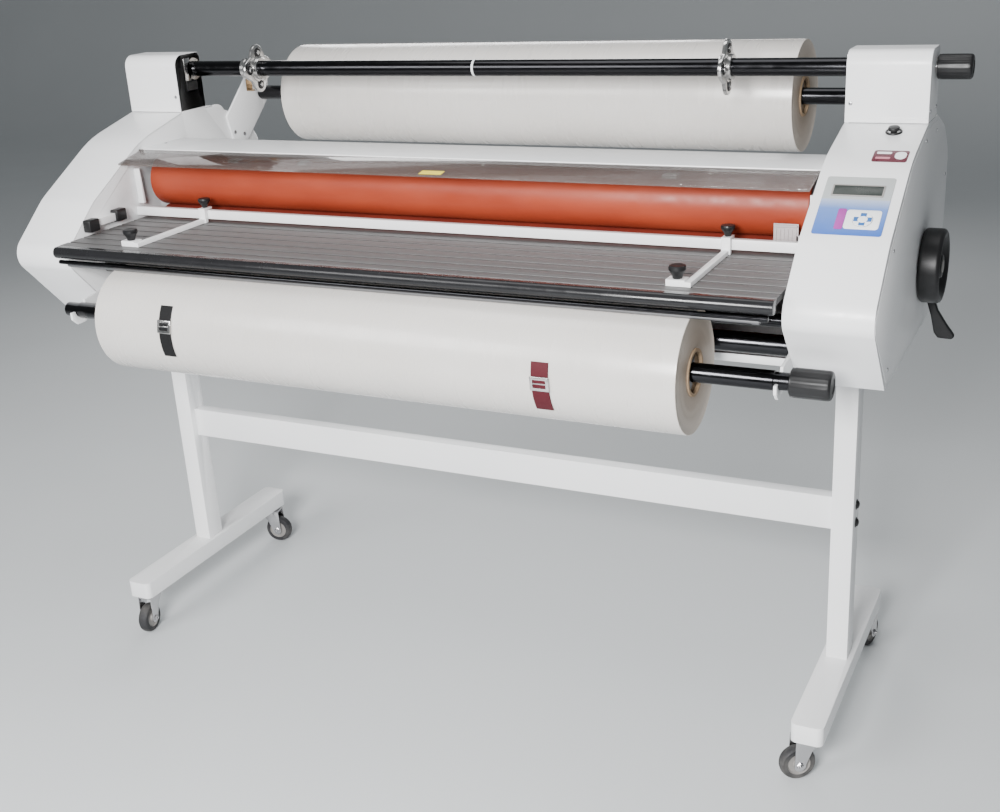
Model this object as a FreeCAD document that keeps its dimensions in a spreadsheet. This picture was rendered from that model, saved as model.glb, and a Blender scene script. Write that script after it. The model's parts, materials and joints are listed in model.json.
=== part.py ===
import FreeCAD, Part
import Sketcher
import math
import os

# Wide roll laminator on a castered stand.
# Millimetres. X runs along the rollers (right as seen from the feed table),
# Y runs from the feed table to the outfeed side, Z is up, floor at zero.

os.makedirs("parts", exist_ok=True)
doc = FreeCAD.newDocument("roll_laminator")
sheet = doc.addObject("Spreadsheet::Sheet", "sizes")

# ---------------------------------------------------------------- sizes
SIZES = [
    # stand
    ("leg_out", 47.0), ("upright_wide", 44.0), ("upright_deep", 54.0),
    ("upright_top", 930.0), ("tube_wall", 3.0), ("foot_wide", 66.0),
    ("foot_high", 42.0), ("foot_bottom", 102.0), ("foot_front", -296.0),
    ("foot_back", 308.0), ("foot_round", 14.0), ("stretcher_top", 514.0),
    ("stretcher_high", 73.0), ("stretcher_deep", 30.0), ("stretcher_back", 20.0),
    ("lug_low", 860.0), ("lap", 1.0), ("end_wall", 9.0),
    ("bolt_radius", 5.0), ("bolt_head", 9.0), ("bolt_rise", 6.0),
    ("bolt_upper", 498.0), ("bolt_lower", 457.0), ("bolt_gap", 0.2),
    ("bolt_deep", 5.0), ("bolt_long", 66.0), ("bolt_sink", 30.0),
    # casters
    ("wheel_radius", 37.5), ("wheel_wide", 24.0), ("caster_trail", 28.0),
    ("axle_radius", 5.0), ("run_gap", 0.05), ("fork_wall", 3.0),
    ("fork_wide", 38.0), ("stem_radius", 6.0), ("stem_rise", 24.0),
    ("crown_thick", 4.0), ("race_radius", 19.0), ("race_high", 3.5),
    ("crown_drop", 4.0), ("cheek_below", 10.0), ("axle_proud", 2.0),
    ("front_caster", -251.0), ("rear_caster", 263.0),
    # side frames and housings
    ("inside_half", 803.0), ("side_wide", 155.0), ("frame_thick", 8.0),
    ("skin_thick", 2.0), ("skin_gap", 1.0), ("open_past", 10.0),
    ("crest_front", 75.0), ("crest_back", 190.0), ("crest_rise", 39.0),
    ("brow_deep", -85.0), ("brow_rise", 20.0),
    ("cheek_deep", -270.0), ("cheek_high", 1119.0),
    ("snout_deep", -392.0), ("snout_high", 1013.0),
    ("chin_deep", -250.0), ("chin_high", 850.0), ("heel_deep", 300.0),
    ("back_deep", 372.0), ("back_low", 1020.0), ("back_high", 1160.0),
    ("shoulder_deep", 300.0), ("shoulder_drop", 39.0),
    ("brow_round", 300.0), ("cheek_round", 160.0), ("snout_round", 42.0),
    ("back_round", 70.0), ("shoulder_round", 90.0),
    ("lobe_deep", 213.0), ("lobe_drop", 33.0), ("lobe_radius", 32.0),
    ("ear_sink", 40.0), ("ear_front", 4.0), ("ear_back", 5.0), ("ear_drop", 14.0),
    ("ear_round", 22.0), ("way_gap", 1.0),
    # rollers
    ("nip_deep", -38.0), ("roller_radius", 60.0), ("core_radius", 50.0),
    ("core_wall", 10.0), ("heater_bore", 6.0), ("end_plug", 20.0), ("slot_gap", 1.5),
    ("bottom_roller_high", 1008.0), ("nip_gap", 0.3), ("roller_side_gap", 23.0),
    ("journal_radius", 15.0), ("journal_past", 19.0), ("lift_travel", 12.0),
    # lift
    ("cam_deep", 100.0), ("cam_high", 988.0), ("cam_low", 26.0),
    ("cam_clear", 1.4), ("cam_wide", 10.0), ("cam_shaft_radius", 10.0),
    ("carriage_thick", 10.0), ("carriage_gap", 2.0), ("carriage_half", 30.0),
    ("pad_half", 46.0), ("pad_thick", 14.0), ("cam_shaft_past", 20.0),
    ("handwheel_radius", 73.0), ("handwheel_wide", 41.0),
    ("lever_deep", 155.0), ("lever_high", 915.0), ("lever_drop", 92.0),
    ("lever_boss", 14.0), ("lever_shaft", 7.0), ("lever_thick", 12.0),
    ("lever_out", 62.0), ("lever_inside", 24.0), ("outside_gap", 2.0),
    # feed table
    ("table_top", 1050.0), ("table_thick", 12.0), ("table_front", -396.0),
    ("table_clear", 2.0), ("table_side_gap", 4.0), ("groove_wide", 6.0),
    ("groove_deep", 2.5), ("groove_pitch", 42.0), ("lip_radius", 13.0),
    ("rail_front", -132.0), ("rail_deep", 14.0), ("rail_low", 1058.0),
    ("rail_high", 20.0), ("guide_left_in", 200.0), ("guide_right_in", 168.0),
    ("guide_wide", 12.0), ("guide_high", 9.0), ("guide_lift", 0.5),
    ("guide_gap", 0.6), ("post_half", 9.0), ("post_thick", 10.0), ("post_rise", 20.0),
    ("hook_rise", 24.0), ("hook_thick", 3.0), ("toe_left", 40.0), ("toe_front", 24.0),
    ("toe_back", 50.0), ("toe_thick", 12.0), ("rail_wall", 2.0), ("flange_front", 60.0),
    ("knob_neck", 6.0), ("knob_brim", 14.0), ("knob_high", 22.0),
    ("cup_neck", 9.0), ("cup_brim", 16.0), ("cup_high", 24.0),
    ("flange_back", 30.0), ("flange_thick", 5.0), ("flange_high", 24.0),
    ("first_groove", 26.0), ("lip_deep", 25.0), ("guard_wide", 16.0),
    ("guard_gap", 16.0),
    # covers
    ("cover_front", -84.0), ("cover_back", 62.0), ("cover_rise", 17.7),
    ("sheet_thick", 2.0), ("cover_lip", 10.0), ("shield_out", 84.0),
    ("shield_fall", 15.0), ("shield_thick", 4.0), ("hinge_deep", -92.0),
    ("hinge_drop", 3.0), ("exit_high", 1043.0), ("hood_front", 80.0),
    ("hood_high", 1188.0), ("hood_low", 1104.0), ("pan_front", -165.0),
    ("pan_high", 846.0), ("pan_lip", 16.0), ("shield_pin", 3.0),
    ("shield_gap", 5.0), ("pin_reach", 6.0), ("pin_long", 16.0),
    # top bar and boxes
    ("bar_deep", 140.0), ("bar_drop", 38.0), ("bar_radius", 18.0),
    ("bar_journal", 12.5), ("box_front", 75.0), ("box_back", 172.0),
    ("box_top", 1400.0), ("box_round", 28.0),
    ("knob_radius", 24.0), ("knob_long", 64.0), ("chuck_radius", 56.0),
    ("chuck_left_in", 197.0), ("chuck_right_in", 251.0), ("chuck_wide", 26.0),
    # film rolls
    ("film_side_gap", 153.0), ("web_core_radius", 44.0), ("web_core_wall", 6.0),
    ("supply_deep", 400.0), ("supply_high", 1268.0), ("supply_film", 120.0),
    ("supply_journal", 15.0), ("arm_thick", 6.0),
    ("lower_deep", -371.0), ("lower_high", 894.0), ("lower_film", 114.0),
    ("lower_knob_radius", 27.0), ("lower_knob_long", 72.0),
    ("shaft_radius", 18.0), ("lower_journal", 16.0), ("cradle_gap", 0.3),
    # idlers
    ("idler_one_deep", -262.0), ("idler_one_high", 968.0), ("idler_one_radius", 13.0),
    ("idler_two_deep", -200.0), ("idler_two_high", 900.0), ("idler_two_radius", 20.0),
    ("idler_journal", 6.0), ("idler_gap", 5.0), ("arm_foot_front", 243.0),
    ("arm_foot_back", 322.0), ("arm_drop", 108.0), ("shaft_past", 14.0),
    # control panel
    ("panel_in", 17.0), ("panel_wide", 120.0), ("panel_deep", -190.0),
    ("panel_long", 148.0), ("panel_thick", 1.2), ("key_radius", 17.0),
    ("key_in", 99.0), ("key_down", 36.0), ("stop_in", 100.0), ("stop_deep", 37.0),
    ("stop_radius", 11.0), ("stop_rise", 7.0), ("stop_lift", 4.6),
    ("stop_stalk", 6.0), ("stalk_gap", 0.8), ("stalk_sink", 8.0),
    ("key_post", 6.0), ("key_gap", 1.0), ("key_sink", 6.0), ("key_lift", 1.4),
    ("key_thick", 1.6), ("panel_gap", 0.05), ("skin_reach", 6.0),
    # electrical
    ("motor_wide", 88.0), ("motor_long", 116.0), ("motor_gap", 4.0),
    ("inlet_high", 905.0), ("inlet_front", 230.0), ("inlet_deep", 32.0),
    ("inlet_tall", 26.0), ("inlet_proud", 6.0), ("inlet_rim", 3.0),
]


class Size:
    """A length that knows its value and the sheet expression it comes from."""

    def __init__(self, text, value):
        self.text = text
        self.value = float(value)

    def __add__(self, other):
        other = size(other)
        return Size("(%s + %s)" % (self.text, other.text), self.value + other.value)

    def __sub__(self, other):
        other = size(other)
        return Size("(%s - %s)" % (self.text, other.text), self.value - other.value)

    def __radd__(self, other):
        return size(other) + self

    def __rsub__(self, other):
        return size(other) - self

    def __mul__(self, factor):
        return Size("(%s * %.6f)" % (self.text, factor), self.value * factor)

    def __neg__(self):
        return self * -1.0


def size(value):
    if isinstance(value, Size):
        return value
    return Size("(%.6f)" % value, value)


class Cells:
    pass


S = Cells()
for row, (alias, number) in enumerate(SIZES, 1):
    sheet.set("A%d" % row, alias)
    sheet.set("B%d" % row, repr(number))
    sheet.setAlias("B%d" % row, alias)
    setattr(S, alias, Size("sizes." + alias, number))


def link(alias, length):
    """A size that follows others, as a formula in its own row of the sheet."""
    row = len(vars(S)) + 1
    sheet.set("A%d" % row, alias)
    sheet.set("B%d" % row, "=" + length.text.replace("sizes.", ""))
    sheet.setAlias("B%d" % row, alias)
    setattr(S, alias, Size("sizes." + alias, length.value))


# across: everything between or on the side frames follows the inside width
link("leg_centre", S.inside_half + S.leg_out)
link("roller_half", S.inside_half - S.roller_side_gap)
link("journal_half", S.inside_half + S.journal_past)
link("table_half", S.inside_half - S.table_side_gap)
link("guide_left_x", S.guide_left_in - S.inside_half)
link("guide_right_x", S.inside_half - S.guide_right_in)
link("chuck_left_x", S.chuck_left_in - S.inside_half)
link("chuck_right_x", S.inside_half - S.chuck_right_in)
link("film_half", S.inside_half - S.film_side_gap)
link("panel_left", S.inside_half + S.panel_in)
link("key_x", S.inside_half + S.key_in)
link("stop_x", S.inside_half + S.stop_in)
# up: the cover clears the top roller, and the housing's crest clears the cover
link("cover_high", S.bottom_roller_high + S.roller_radius * 3.0 + S.nip_gap + S.cover_rise)
link("hinge_high", S.cover_high - S.hinge_drop)
link("brow_high", S.cover_high + S.brow_rise)
link("crest_high", S.brow_high + S.crest_rise)
link("shoulder_high", S.crest_high - S.shoulder_drop)
link("lobe_high", S.crest_high - S.lobe_drop)
link("box_low", S.crest_high + S.skin_gap)
link("bar_high", S.box_top - S.bar_drop)
# deep: the table stops short of the rollers
link("table_back", S.nip_deep - S.roller_radius + S.table_clear)
doc.recompute()

nodes = []


def bind(obj, prop, value):
    obj.setExpression(prop, size(value).text)


def keep(obj, label):
    """Mark an object as a finished sub-part."""
    obj.Label = label
    nodes.append(obj)
    return obj


# ---------------------------------------------------------------- builders
def box(name, low, high):
    obj = doc.addObject("Part::Box", name)
    for prop, a, b in zip(("Length", "Width", "Height"), low, high):
        bind(obj, prop, size(b) - a)
    for prop, a in zip(("x", "y", "z"), low):
        bind(obj, "Placement.Base." + prop, a)
    return obj


TURNS = {
    "x": FreeCAD.Rotation(FreeCAD.Vector(0, 1, 0), 90),
    "y": FreeCAD.Rotation(FreeCAD.Vector(1, 0, 0), -90),
    "z": FreeCAD.Rotation(),
}


def rod(name, start, radius, length, along="x"):
    obj = doc.addObject("Part::Cylinder", name)
    obj.Placement = FreeCAD.Placement(FreeCAD.Vector(), TURNS[along])
    bind(obj, "Radius", radius)
    bind(obj, "Height", length)
    for prop, a in zip(("x", "y", "z"), start):
        bind(obj, "Placement.Base." + prop, a)
    return obj


def cone(name, start, low_radius, high_radius, length):
    """An upright funnel that stands on its centre start."""
    obj = doc.addObject("Part::Cone", name)
    bind(obj, "Radius1", low_radius)
    bind(obj, "Radius2", high_radius)
    bind(obj, "Height", length)
    for prop, a in zip(("x", "y", "z"), start):
        bind(obj, "Placement.Base." + prop, a)
    return obj


def fuse(name, *shapes):
    obj = doc.addObject("Part::MultiFuse", name)
    obj.Shapes = list(shapes)
    return obj


def cut(name, base, *tools):
    tool = tools[0] if len(tools) == 1 else fuse(name + "_tools", *tools)
    obj = doc.addObject("Part::Cut", name)
    obj.Base = base
    obj.Tool = tool
    return obj


def group(name, *shapes):
    obj = doc.addObject("Part::Compound", name)
    obj.Links = list(shapes)
    return obj


def plane_of(body, role):
    for feature in body.Origin.OriginFeatures:
        if feature.Role == role:
            return feature
    raise ValueError(role)


def corner_points(before, corner, after, radius):
    """Where a corner's arc leaves its two sides, and the arc's middle."""
    spots = [(size(p[0]).value, size(p[1]).value) for p in (before, corner, after)]
    a = (spots[0][0] - spots[1][0], spots[0][1] - spots[1][1])
    b = (spots[2][0] - spots[1][0], spots[2][1] - spots[1][1])
    la, lb = math.hypot(*a), math.hypot(*b)
    a, b = (a[0] / la, a[1] / la), (b[0] / lb, b[1] / lb)
    half = math.acos(max(-1.0, min(1.0, a[0] * b[0] + a[1] * b[1]))) / 2.0
    reach = 1.0 / math.tan(half)
    u, v, radius = size(corner[0]), size(corner[1]), size(radius)
    start = (u + radius * (a[0] * reach), v + radius * (a[1] * reach))
    end = (u + radius * (b[0] * reach), v + radius * (b[1] * reach))
    m = (a[0] + b[0], a[1] + b[1])
    lm = math.hypot(*m)
    drop = radius.value * (1.0 / math.sin(half) - 1.0)
    middle = FreeCAD.Vector(spots[1][0] + m[0] / lm * drop, spots[1][1] + m[1] / lm * drop, 0)
    return start, end, middle


def draw_loop(sketch, points, tag):
    """A closed outline bound to the sheet; a third number rounds a corner."""
    knots = []
    arcs = []
    count = len(points)
    for i, point in enumerate(points):
        if len(point) > 2:
            start, end, middle = corner_points(
                points[i - 1], point, points[(i + 1) % count], point[2])
            arcs.append((len(knots), middle, point[2]))
            knots.append(start)
            knots.append(end)
        else:
            knots.append((point[0], point[1]))
    first = sketch.GeometryCount
    total = len(knots)
    arc_at = {k: (middle, radius) for k, middle, radius in arcs}
    flat = [FreeCAD.Vector(size(u).value, size(v).value, 0) for u, v in knots]
    ends = []
    for i in range(total):
        a, b = flat[i], flat[(i + 1) % total]
        if i in arc_at:
            arc = Part.Arc(a, arc_at[i][0], b)
            n = sketch.addGeometry(arc, False)
            shape = sketch.Geometry[n]
            forward = shape.StartPoint.distanceToPoint(a) < 1e-4
            ends.append((n, 1, 2) if forward else (n, 2, 1))
        else:
            n = sketch.addGeometry(Part.LineSegment(a, b), False)
            ends.append((n, 1, 2))
    for i in range(total):
        here, after = ends[i], ends[(i + 1) % total]
        sketch.addConstraint(
            Sketcher.Constraint("Coincident", here[0], here[2], after[0], after[1]))
    for i, (u, v) in enumerate(knots):
        for kind, name, value in (("DistanceX", "u", u), ("DistanceY", "v", v)):
            value = size(value)
            n = sketch.addConstraint(
                Sketcher.Constraint(kind, -1, 1, ends[i][0], ends[i][1], value.value))
            label = "%s%s%d" % (tag, name, i)
            sketch.renameConstraint(n, label)
            sketch.setExpression("Constraints." + label, value.text)
    for i, (middle, radius) in arc_at.items():
        radius = size(radius)
        n = sketch.addConstraint(
            Sketcher.Constraint("Radius", ends[i][0], radius.value))
        label = "%sr%d" % (tag, i)
        sketch.renameConstraint(n, label)
        sketch.setExpression("Constraints." + label, radius.text)


def draw_circle(sketch, u, v, radius, tag):
    u, v, radius = size(u), size(v), size(radius)
    centre = FreeCAD.Vector(u.value, v.value, 0)
    g = sketch.addGeometry(
        Part.Circle(centre, FreeCAD.Vector(0, 0, 1), radius.value), False)
    marks = (
        ("u", Sketcher.Constraint("DistanceX", -1, 1, g, 3, u.value), u),
        ("v", Sketcher.Constraint("DistanceY", -1, 1, g, 3, v.value), v),
        ("r", Sketcher.Constraint("Radius", g, radius.value), radius),
    )
    for name, constraint, value in marks:
        n = sketch.addConstraint(constraint)
        sketch.renameConstraint(n, tag + name)
        sketch.setExpression("Constraints." + tag + name, value.text)


def sketch_on(body, name, role, offset=None):
    sketch = body.newObject("Sketcher::SketchObject", name)
    sketch.AttachmentSupport = [(plane_of(body, role), "")]
    sketch.MapMode = "FlatFace"
    if offset is not None:
        bind(sketch, "AttachmentOffset.Base.z", offset)
    return sketch


def plate(name, points, start, thick, holes=(), loops=()):
    """A flat plate outlined in Y and Z, thick along X from start."""
    body = doc.addObject("PartDesign::Body", name)
    sketch = sketch_on(body, name + "_outline", "YZ_Plane", start)
    draw_loop(sketch, points, "p")
    for i, (u, v, radius) in enumerate(holes):
        draw_circle(sketch, u, v, radius, "c%d" % i)
    for i, loop in enumerate(loops):
        draw_loop(sketch, loop, "q%d" % i)
    pad = body.newObject("PartDesign::Pad", name + "_pad")
    pad.Profile = sketch
    bind(pad, "Length", thick)
    doc.recompute()
    return body


def inset(points, gap):
    """The polygon moved inwards by gap on every side."""
    gap = size(gap)
    flat = [(size(p[0]).value, size(p[1]).value) for p in points]
    area = sum(flat[i - 1][0] * flat[i][1] - flat[i][0] * flat[i - 1][1]
               for i in range(len(flat)))
    turn = 1.0 if area > 0 else -1.0
    moved = []
    for i, point in enumerate(points):
        u, v = point[0], point[1]
        a, b, c = flat[i - 1], flat[i], flat[(i + 1) % len(flat)]
        first = (b[0] - a[0], b[1] - a[1])
        second = (c[0] - b[0], c[1] - b[1])
        n1 = (-first[1] * turn, first[0] * turn)
        n2 = (-second[1] * turn, second[0] * turn)
        l1, l2 = math.hypot(*n1), math.hypot(*n2)
        n1 = (n1[0] / l1, n1[1] / l1)
        n2 = (n2[0] / l2, n2[1] / l2)
        scale = 1.0 / (1.0 + n1[0] * n2[0] + n1[1] * n2[1])
        spot = [size(u) + gap * ((n1[0] + n2[0]) * scale),
                size(v) + gap * ((n1[1] + n2[1]) * scale)]
        if len(point) > 2:
            spot.append(size(point[2]) - gap)
        moved.append(tuple(spot))
    return moved


def turned(name, deep, high, profile, x=0.0):
    """A turned piece about an X-wise axis at Y = deep, Z = high."""
    body = doc.addObject("PartDesign::Body", name)
    sketch = sketch_on(body, name + "_half", "XY_Plane")
    draw_loop(sketch, profile, "p")
    turn = body.newObject("PartDesign::Revolution", name + "_turn")
    turn.Profile = sketch
    turn.ReferenceAxis = (sketch, ["H_Axis"])
    turn.Angle = 360
    doc.recompute()
    bind(body, "Placement.Base.x", x)
    bind(body, "Placement.Base.y", deep)
    bind(body, "Placement.Base.z", high)
    return body


def ring(inner, outer, low, high):
    return [(low, inner), (high, inner), (high, outer), (low, outer)]


def stepped(*steps):
    """Profile of a solid shaft: steps are (x, radius) from left to right."""
    points = [(steps[0][0], 0.0)]
    for i in range(len(steps) - 1):
        points.append((steps[i][0], steps[i][1]))
        points.append((steps[i + 1][0], steps[i][1]))
    points.append((steps[-1][0], 0.0))
    return points


# ---------------------------------------------------------------- stand
foot_top = S.foot_bottom + S.foot_high
cradle_low = S.foot_bottom + S.tube_wall

for side, sign in (("left", -1.0), ("right", 1.0)):
    centre = S.leg_centre * sign
    inner_x = S.inside_half + S.frame_thick
    half_foot = S.foot_wide * 0.5
    half_up = S.upright_wide * 0.5
    half_deep = S.upright_deep * 0.5
    foot = box("foot_" + side, (centre - half_foot, S.foot_front, S.foot_bottom),
               (centre + half_foot, S.foot_back, foot_top))
    doc.recompute()
    soft = doc.addObject("Part::Fillet", "foot_soft_" + side)
    soft.Base = foot
    upright_edges = []
    for n, edge in enumerate(foot.Shape.Edges, 1):
        a, b = (vertex.Point for vertex in edge.Vertexes)
        if abs(a.z - b.z) > 1.0:
            upright_edges.append((n, S.foot_round.value, S.foot_round.value))
    soft.Edges = upright_edges
    upright = box("upright_" + side, (centre - half_up, -half_deep, foot_top - S.lap),
                  (centre + half_up, half_deep, S.upright_top))
    lug_low = inner_x if sign > 0 else -(S.leg_centre - half_up) - S.lap
    lug_high = (S.leg_centre - half_up) + S.lap if sign > 0 else -inner_x
    lug = box("lug_" + side, (lug_low, -half_deep, S.lug_low),
              (lug_high, half_deep, S.upright_top))
    solid = fuse("leg_solid_" + side, soft, upright, lug)
    wall = S.tube_wall
    foot_void = box("foot_void_" + side,
                    (centre - half_foot + wall, S.foot_front + S.foot_round, cradle_low),
                    (centre + half_foot - wall, S.foot_back - S.foot_round,
                     foot_top - wall))
    up_void = box("upright_void_" + side,
                  (centre - half_up + wall, wall - half_deep, foot_top - wall - S.lap),
                  (centre + half_up - wall, half_deep - wall, S.upright_top + S.lap))
    sockets = []
    for n, where in enumerate((S.front_caster, S.rear_caster)):
        sockets.append(rod("socket_%s_%d" % (side, n),
                           (centre, where, S.foot_bottom - S.lap),
                           S.stem_radius + S.run_gap, S.tube_wall + S.lap * 2.0, "z"))
    bolt_holes = []
    for n, high in enumerate((S.bolt_upper, S.bolt_lower)):
        bolt_holes.append(rod("bolt_way_%s_%d" % (side, n),
                              (centre - half_up - S.lap, S.bolt_deep, high),
                              S.bolt_radius + S.bolt_gap, S.upright_wide + S.lap * 2.0))
    leg = cut("leg_cut_" + side, solid, foot_void, up_void, *(sockets + bolt_holes))
    keep(leg, "leg_" + side)

bar_half = S.leg_centre - S.upright_wide * 0.5
bar_front = S.stretcher_back - S.stretcher_deep
bar_low = S.stretcher_top - S.stretcher_high
stretcher_solid = box("stretcher_solid", (-bar_half, bar_front, bar_low),
                      (bar_half, S.stretcher_back, S.stretcher_top))
stretcher_void = box("stretcher_void",
                     (S.end_wall - bar_half, bar_front + S.tube_wall,
                      bar_low + S.tube_wall),
                     (bar_half - S.end_wall, S.stretcher_back - S.tube_wall,
                      S.stretcher_top - S.tube_wall))
ways = []
for side, sign in (("left", -1.0), ("right", 1.0)):
    for n, high in enumerate((S.bolt_upper, S.bolt_lower)):
        start = bar_half - S.bolt_sink if sign > 0 else -bar_half - S.lap
        ways.append(rod("stretcher_way_%s_%d" % (side, n), (start, S.bolt_deep, high),
                        S.bolt_radius + S.run_gap, S.bolt_sink + S.lap))
keep(cut("stretcher_cut", stretcher_solid, stretcher_void, *ways), "stretcher")

bolts = []
outer_face = S.leg_centre + S.upright_wide * 0.5
for side, sign in (("left", -1.0), ("right", 1.0)):
    for n, high in enumerate((S.bolt_upper, S.bolt_lower)):
        shank_start = outer_face - S.bolt_long if sign > 0 else -outer_face
        shank = rod("shank_%s_%d" % (side, n), (shank_start, S.bolt_deep, high),
                    S.bolt_radius, S.bolt_long)
        head = doc.addObject("Part::Cone", "head_%s_%d" % (side, n))
        spin = FreeCAD.Rotation(FreeCAD.Vector(0, 1, 0), 90 * sign)
        head.Placement = FreeCAD.Placement(FreeCAD.Vector(), spin)
        bind(head, "Radius1", S.bolt_head)
        bind(head, "Radius2", S.bolt_head * 0.6)
        bind(head, "Height", S.bolt_rise)
        bind(head, "Placement.Base.x", outer_face * sign)
        bind(head, "Placement.Base.y", S.bolt_deep)
        bind(head, "Placement.Base.z", high)
        bolts.append(fuse("bolt_%s_%d" % (side, n), shank, head))
keep(group("stretcher_bolt_set", *bolts), "stretcher_bolts")

# ---------------------------------------------------------------- casters
# Each fork swivels about its stem; its wheel trails behind the stem.
CASTERS = (
    ("front_left", -1.0, S.front_caster, -80.0),
    ("front_right", 1.0, S.front_caster, -145.0),
    ("rear_left", -1.0, S.rear_caster, 12.0),
    ("rear_right", 1.0, S.rear_caster, 75.0),
)


def local_box(name, low, high, where, turn):
    """A box laid out in a caster's own frame, then turned to its heading."""
    obj = doc.addObject("Part::Box", name)
    for prop, a, b in zip(("Length", "Width", "Height"), low, high):
        bind(obj, prop, size(b) - a)
    rot = FreeCAD.Rotation(FreeCAD.Vector(0, 0, 1), turn)
    obj.Placement = FreeCAD.Placement(FreeCAD.Vector(), rot)
    c, s = math.cos(math.radians(turn)), math.sin(math.radians(turn))
    bind(obj, "Placement.Base.x", size(where[0]) + size(low[0]) * c - size(low[1]) * s)
    bind(obj, "Placement.Base.y", size(where[1]) + size(low[0]) * s + size(low[1]) * c)
    bind(obj, "Placement.Base.z", low[2])
    return obj


def local_axle(name, where, turn, radius, half, trail):
    """A cylinder across a caster, centred on the wheel."""
    obj = doc.addObject("Part::Cylinder", name)
    rot = FreeCAD.Rotation(FreeCAD.Vector(0, 0, 1), turn)
    lie = FreeCAD.Rotation(FreeCAD.Vector(1, 0, 0), -90)
    obj.Placement = FreeCAD.Placement(FreeCAD.Vector(), rot.multiply(lie))
    bind(obj, "Radius", radius)
    bind(obj, "Height", size(half) * 2.0)
    c, s = math.cos(math.radians(turn)), math.sin(math.radians(turn))
    bind(obj, "Placement.Base.x", size(where[0]) + size(trail) * c + size(half) * s)
    bind(obj, "Placement.Base.y", size(where[1]) + size(trail) * s - size(half) * c)
    bind(obj, "Placement.Base.z", S.wheel_radius)
    return obj


fork_half = S.fork_wide * 0.5
wheel_half = S.wheel_wide * 0.5
fork_top = S.foot_bottom - S.crown_drop
for label, sign, along, turn in CASTERS:
    where = (S.leg_centre * sign, along)
    crown = local_box("crown_" + label, (S.caster_trail * -0.75, -fork_half, fork_top - S.crown_thick),
                      (S.caster_trail * 1.3, fork_half, fork_top), where, turn)
    cheeks = []
    for n, (low, high) in enumerate(((-fork_half, S.fork_wall - fork_half),
                                     (fork_half - S.fork_wall, fork_half))):
        cheeks.append(local_box("cheek_%s_%d" % (label, n),
                                (S.caster_trail * 0.45, low, S.wheel_radius - S.cheek_below),
                                (S.caster_trail * 1.55, high, fork_top - S.crown_thick),
                                where, turn))
    race = rod("race_" + label, (where[0], where[1], fork_top), S.race_radius, S.race_high, "z")
    stem = rod("stem_" + label, (where[0], where[1], fork_top + S.race_high), S.stem_radius,
               S.stem_rise, "z")
    pin = local_axle("pin_" + label, where, turn, S.axle_radius, fork_half + S.axle_proud,
                     S.caster_trail)
    fork = fuse("fork_" + label, crown, race, stem, pin, *cheeks)
    keep(fork, "caster_fork_" + label)
    tyre = local_axle("tyre_" + label, where, turn, S.wheel_radius, wheel_half,
                      S.caster_trail)
    hole = local_axle("wheel_bore_" + label, where, turn, S.axle_radius + S.run_gap,
                      wheel_half + S.lap, S.caster_trail)
    keep(cut("wheel_" + label, tyre, hole), "caster_wheel_" + label)

# ---------------------------------------------------------------- side frames
outline = [
    (S.crest_front, S.crest_high), (S.brow_deep, S.brow_high, S.brow_round),
    (S.cheek_deep, S.cheek_high, S.cheek_round),
    (S.snout_deep, S.snout_high, S.snout_round),
    (S.chin_deep, S.chin_high), (S.heel_deep, S.chin_high),
    (S.back_deep, S.back_low, S.back_round), (S.back_deep, S.back_high, S.back_round),
    (S.shoulder_deep, S.shoulder_high, S.shoulder_round), (S.crest_back, S.crest_high),
]
top_roller_high = S.bottom_roller_high + S.roller_radius * 2.0 + S.nip_gap
frame_inset = S.skin_thick + S.skin_gap

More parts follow.
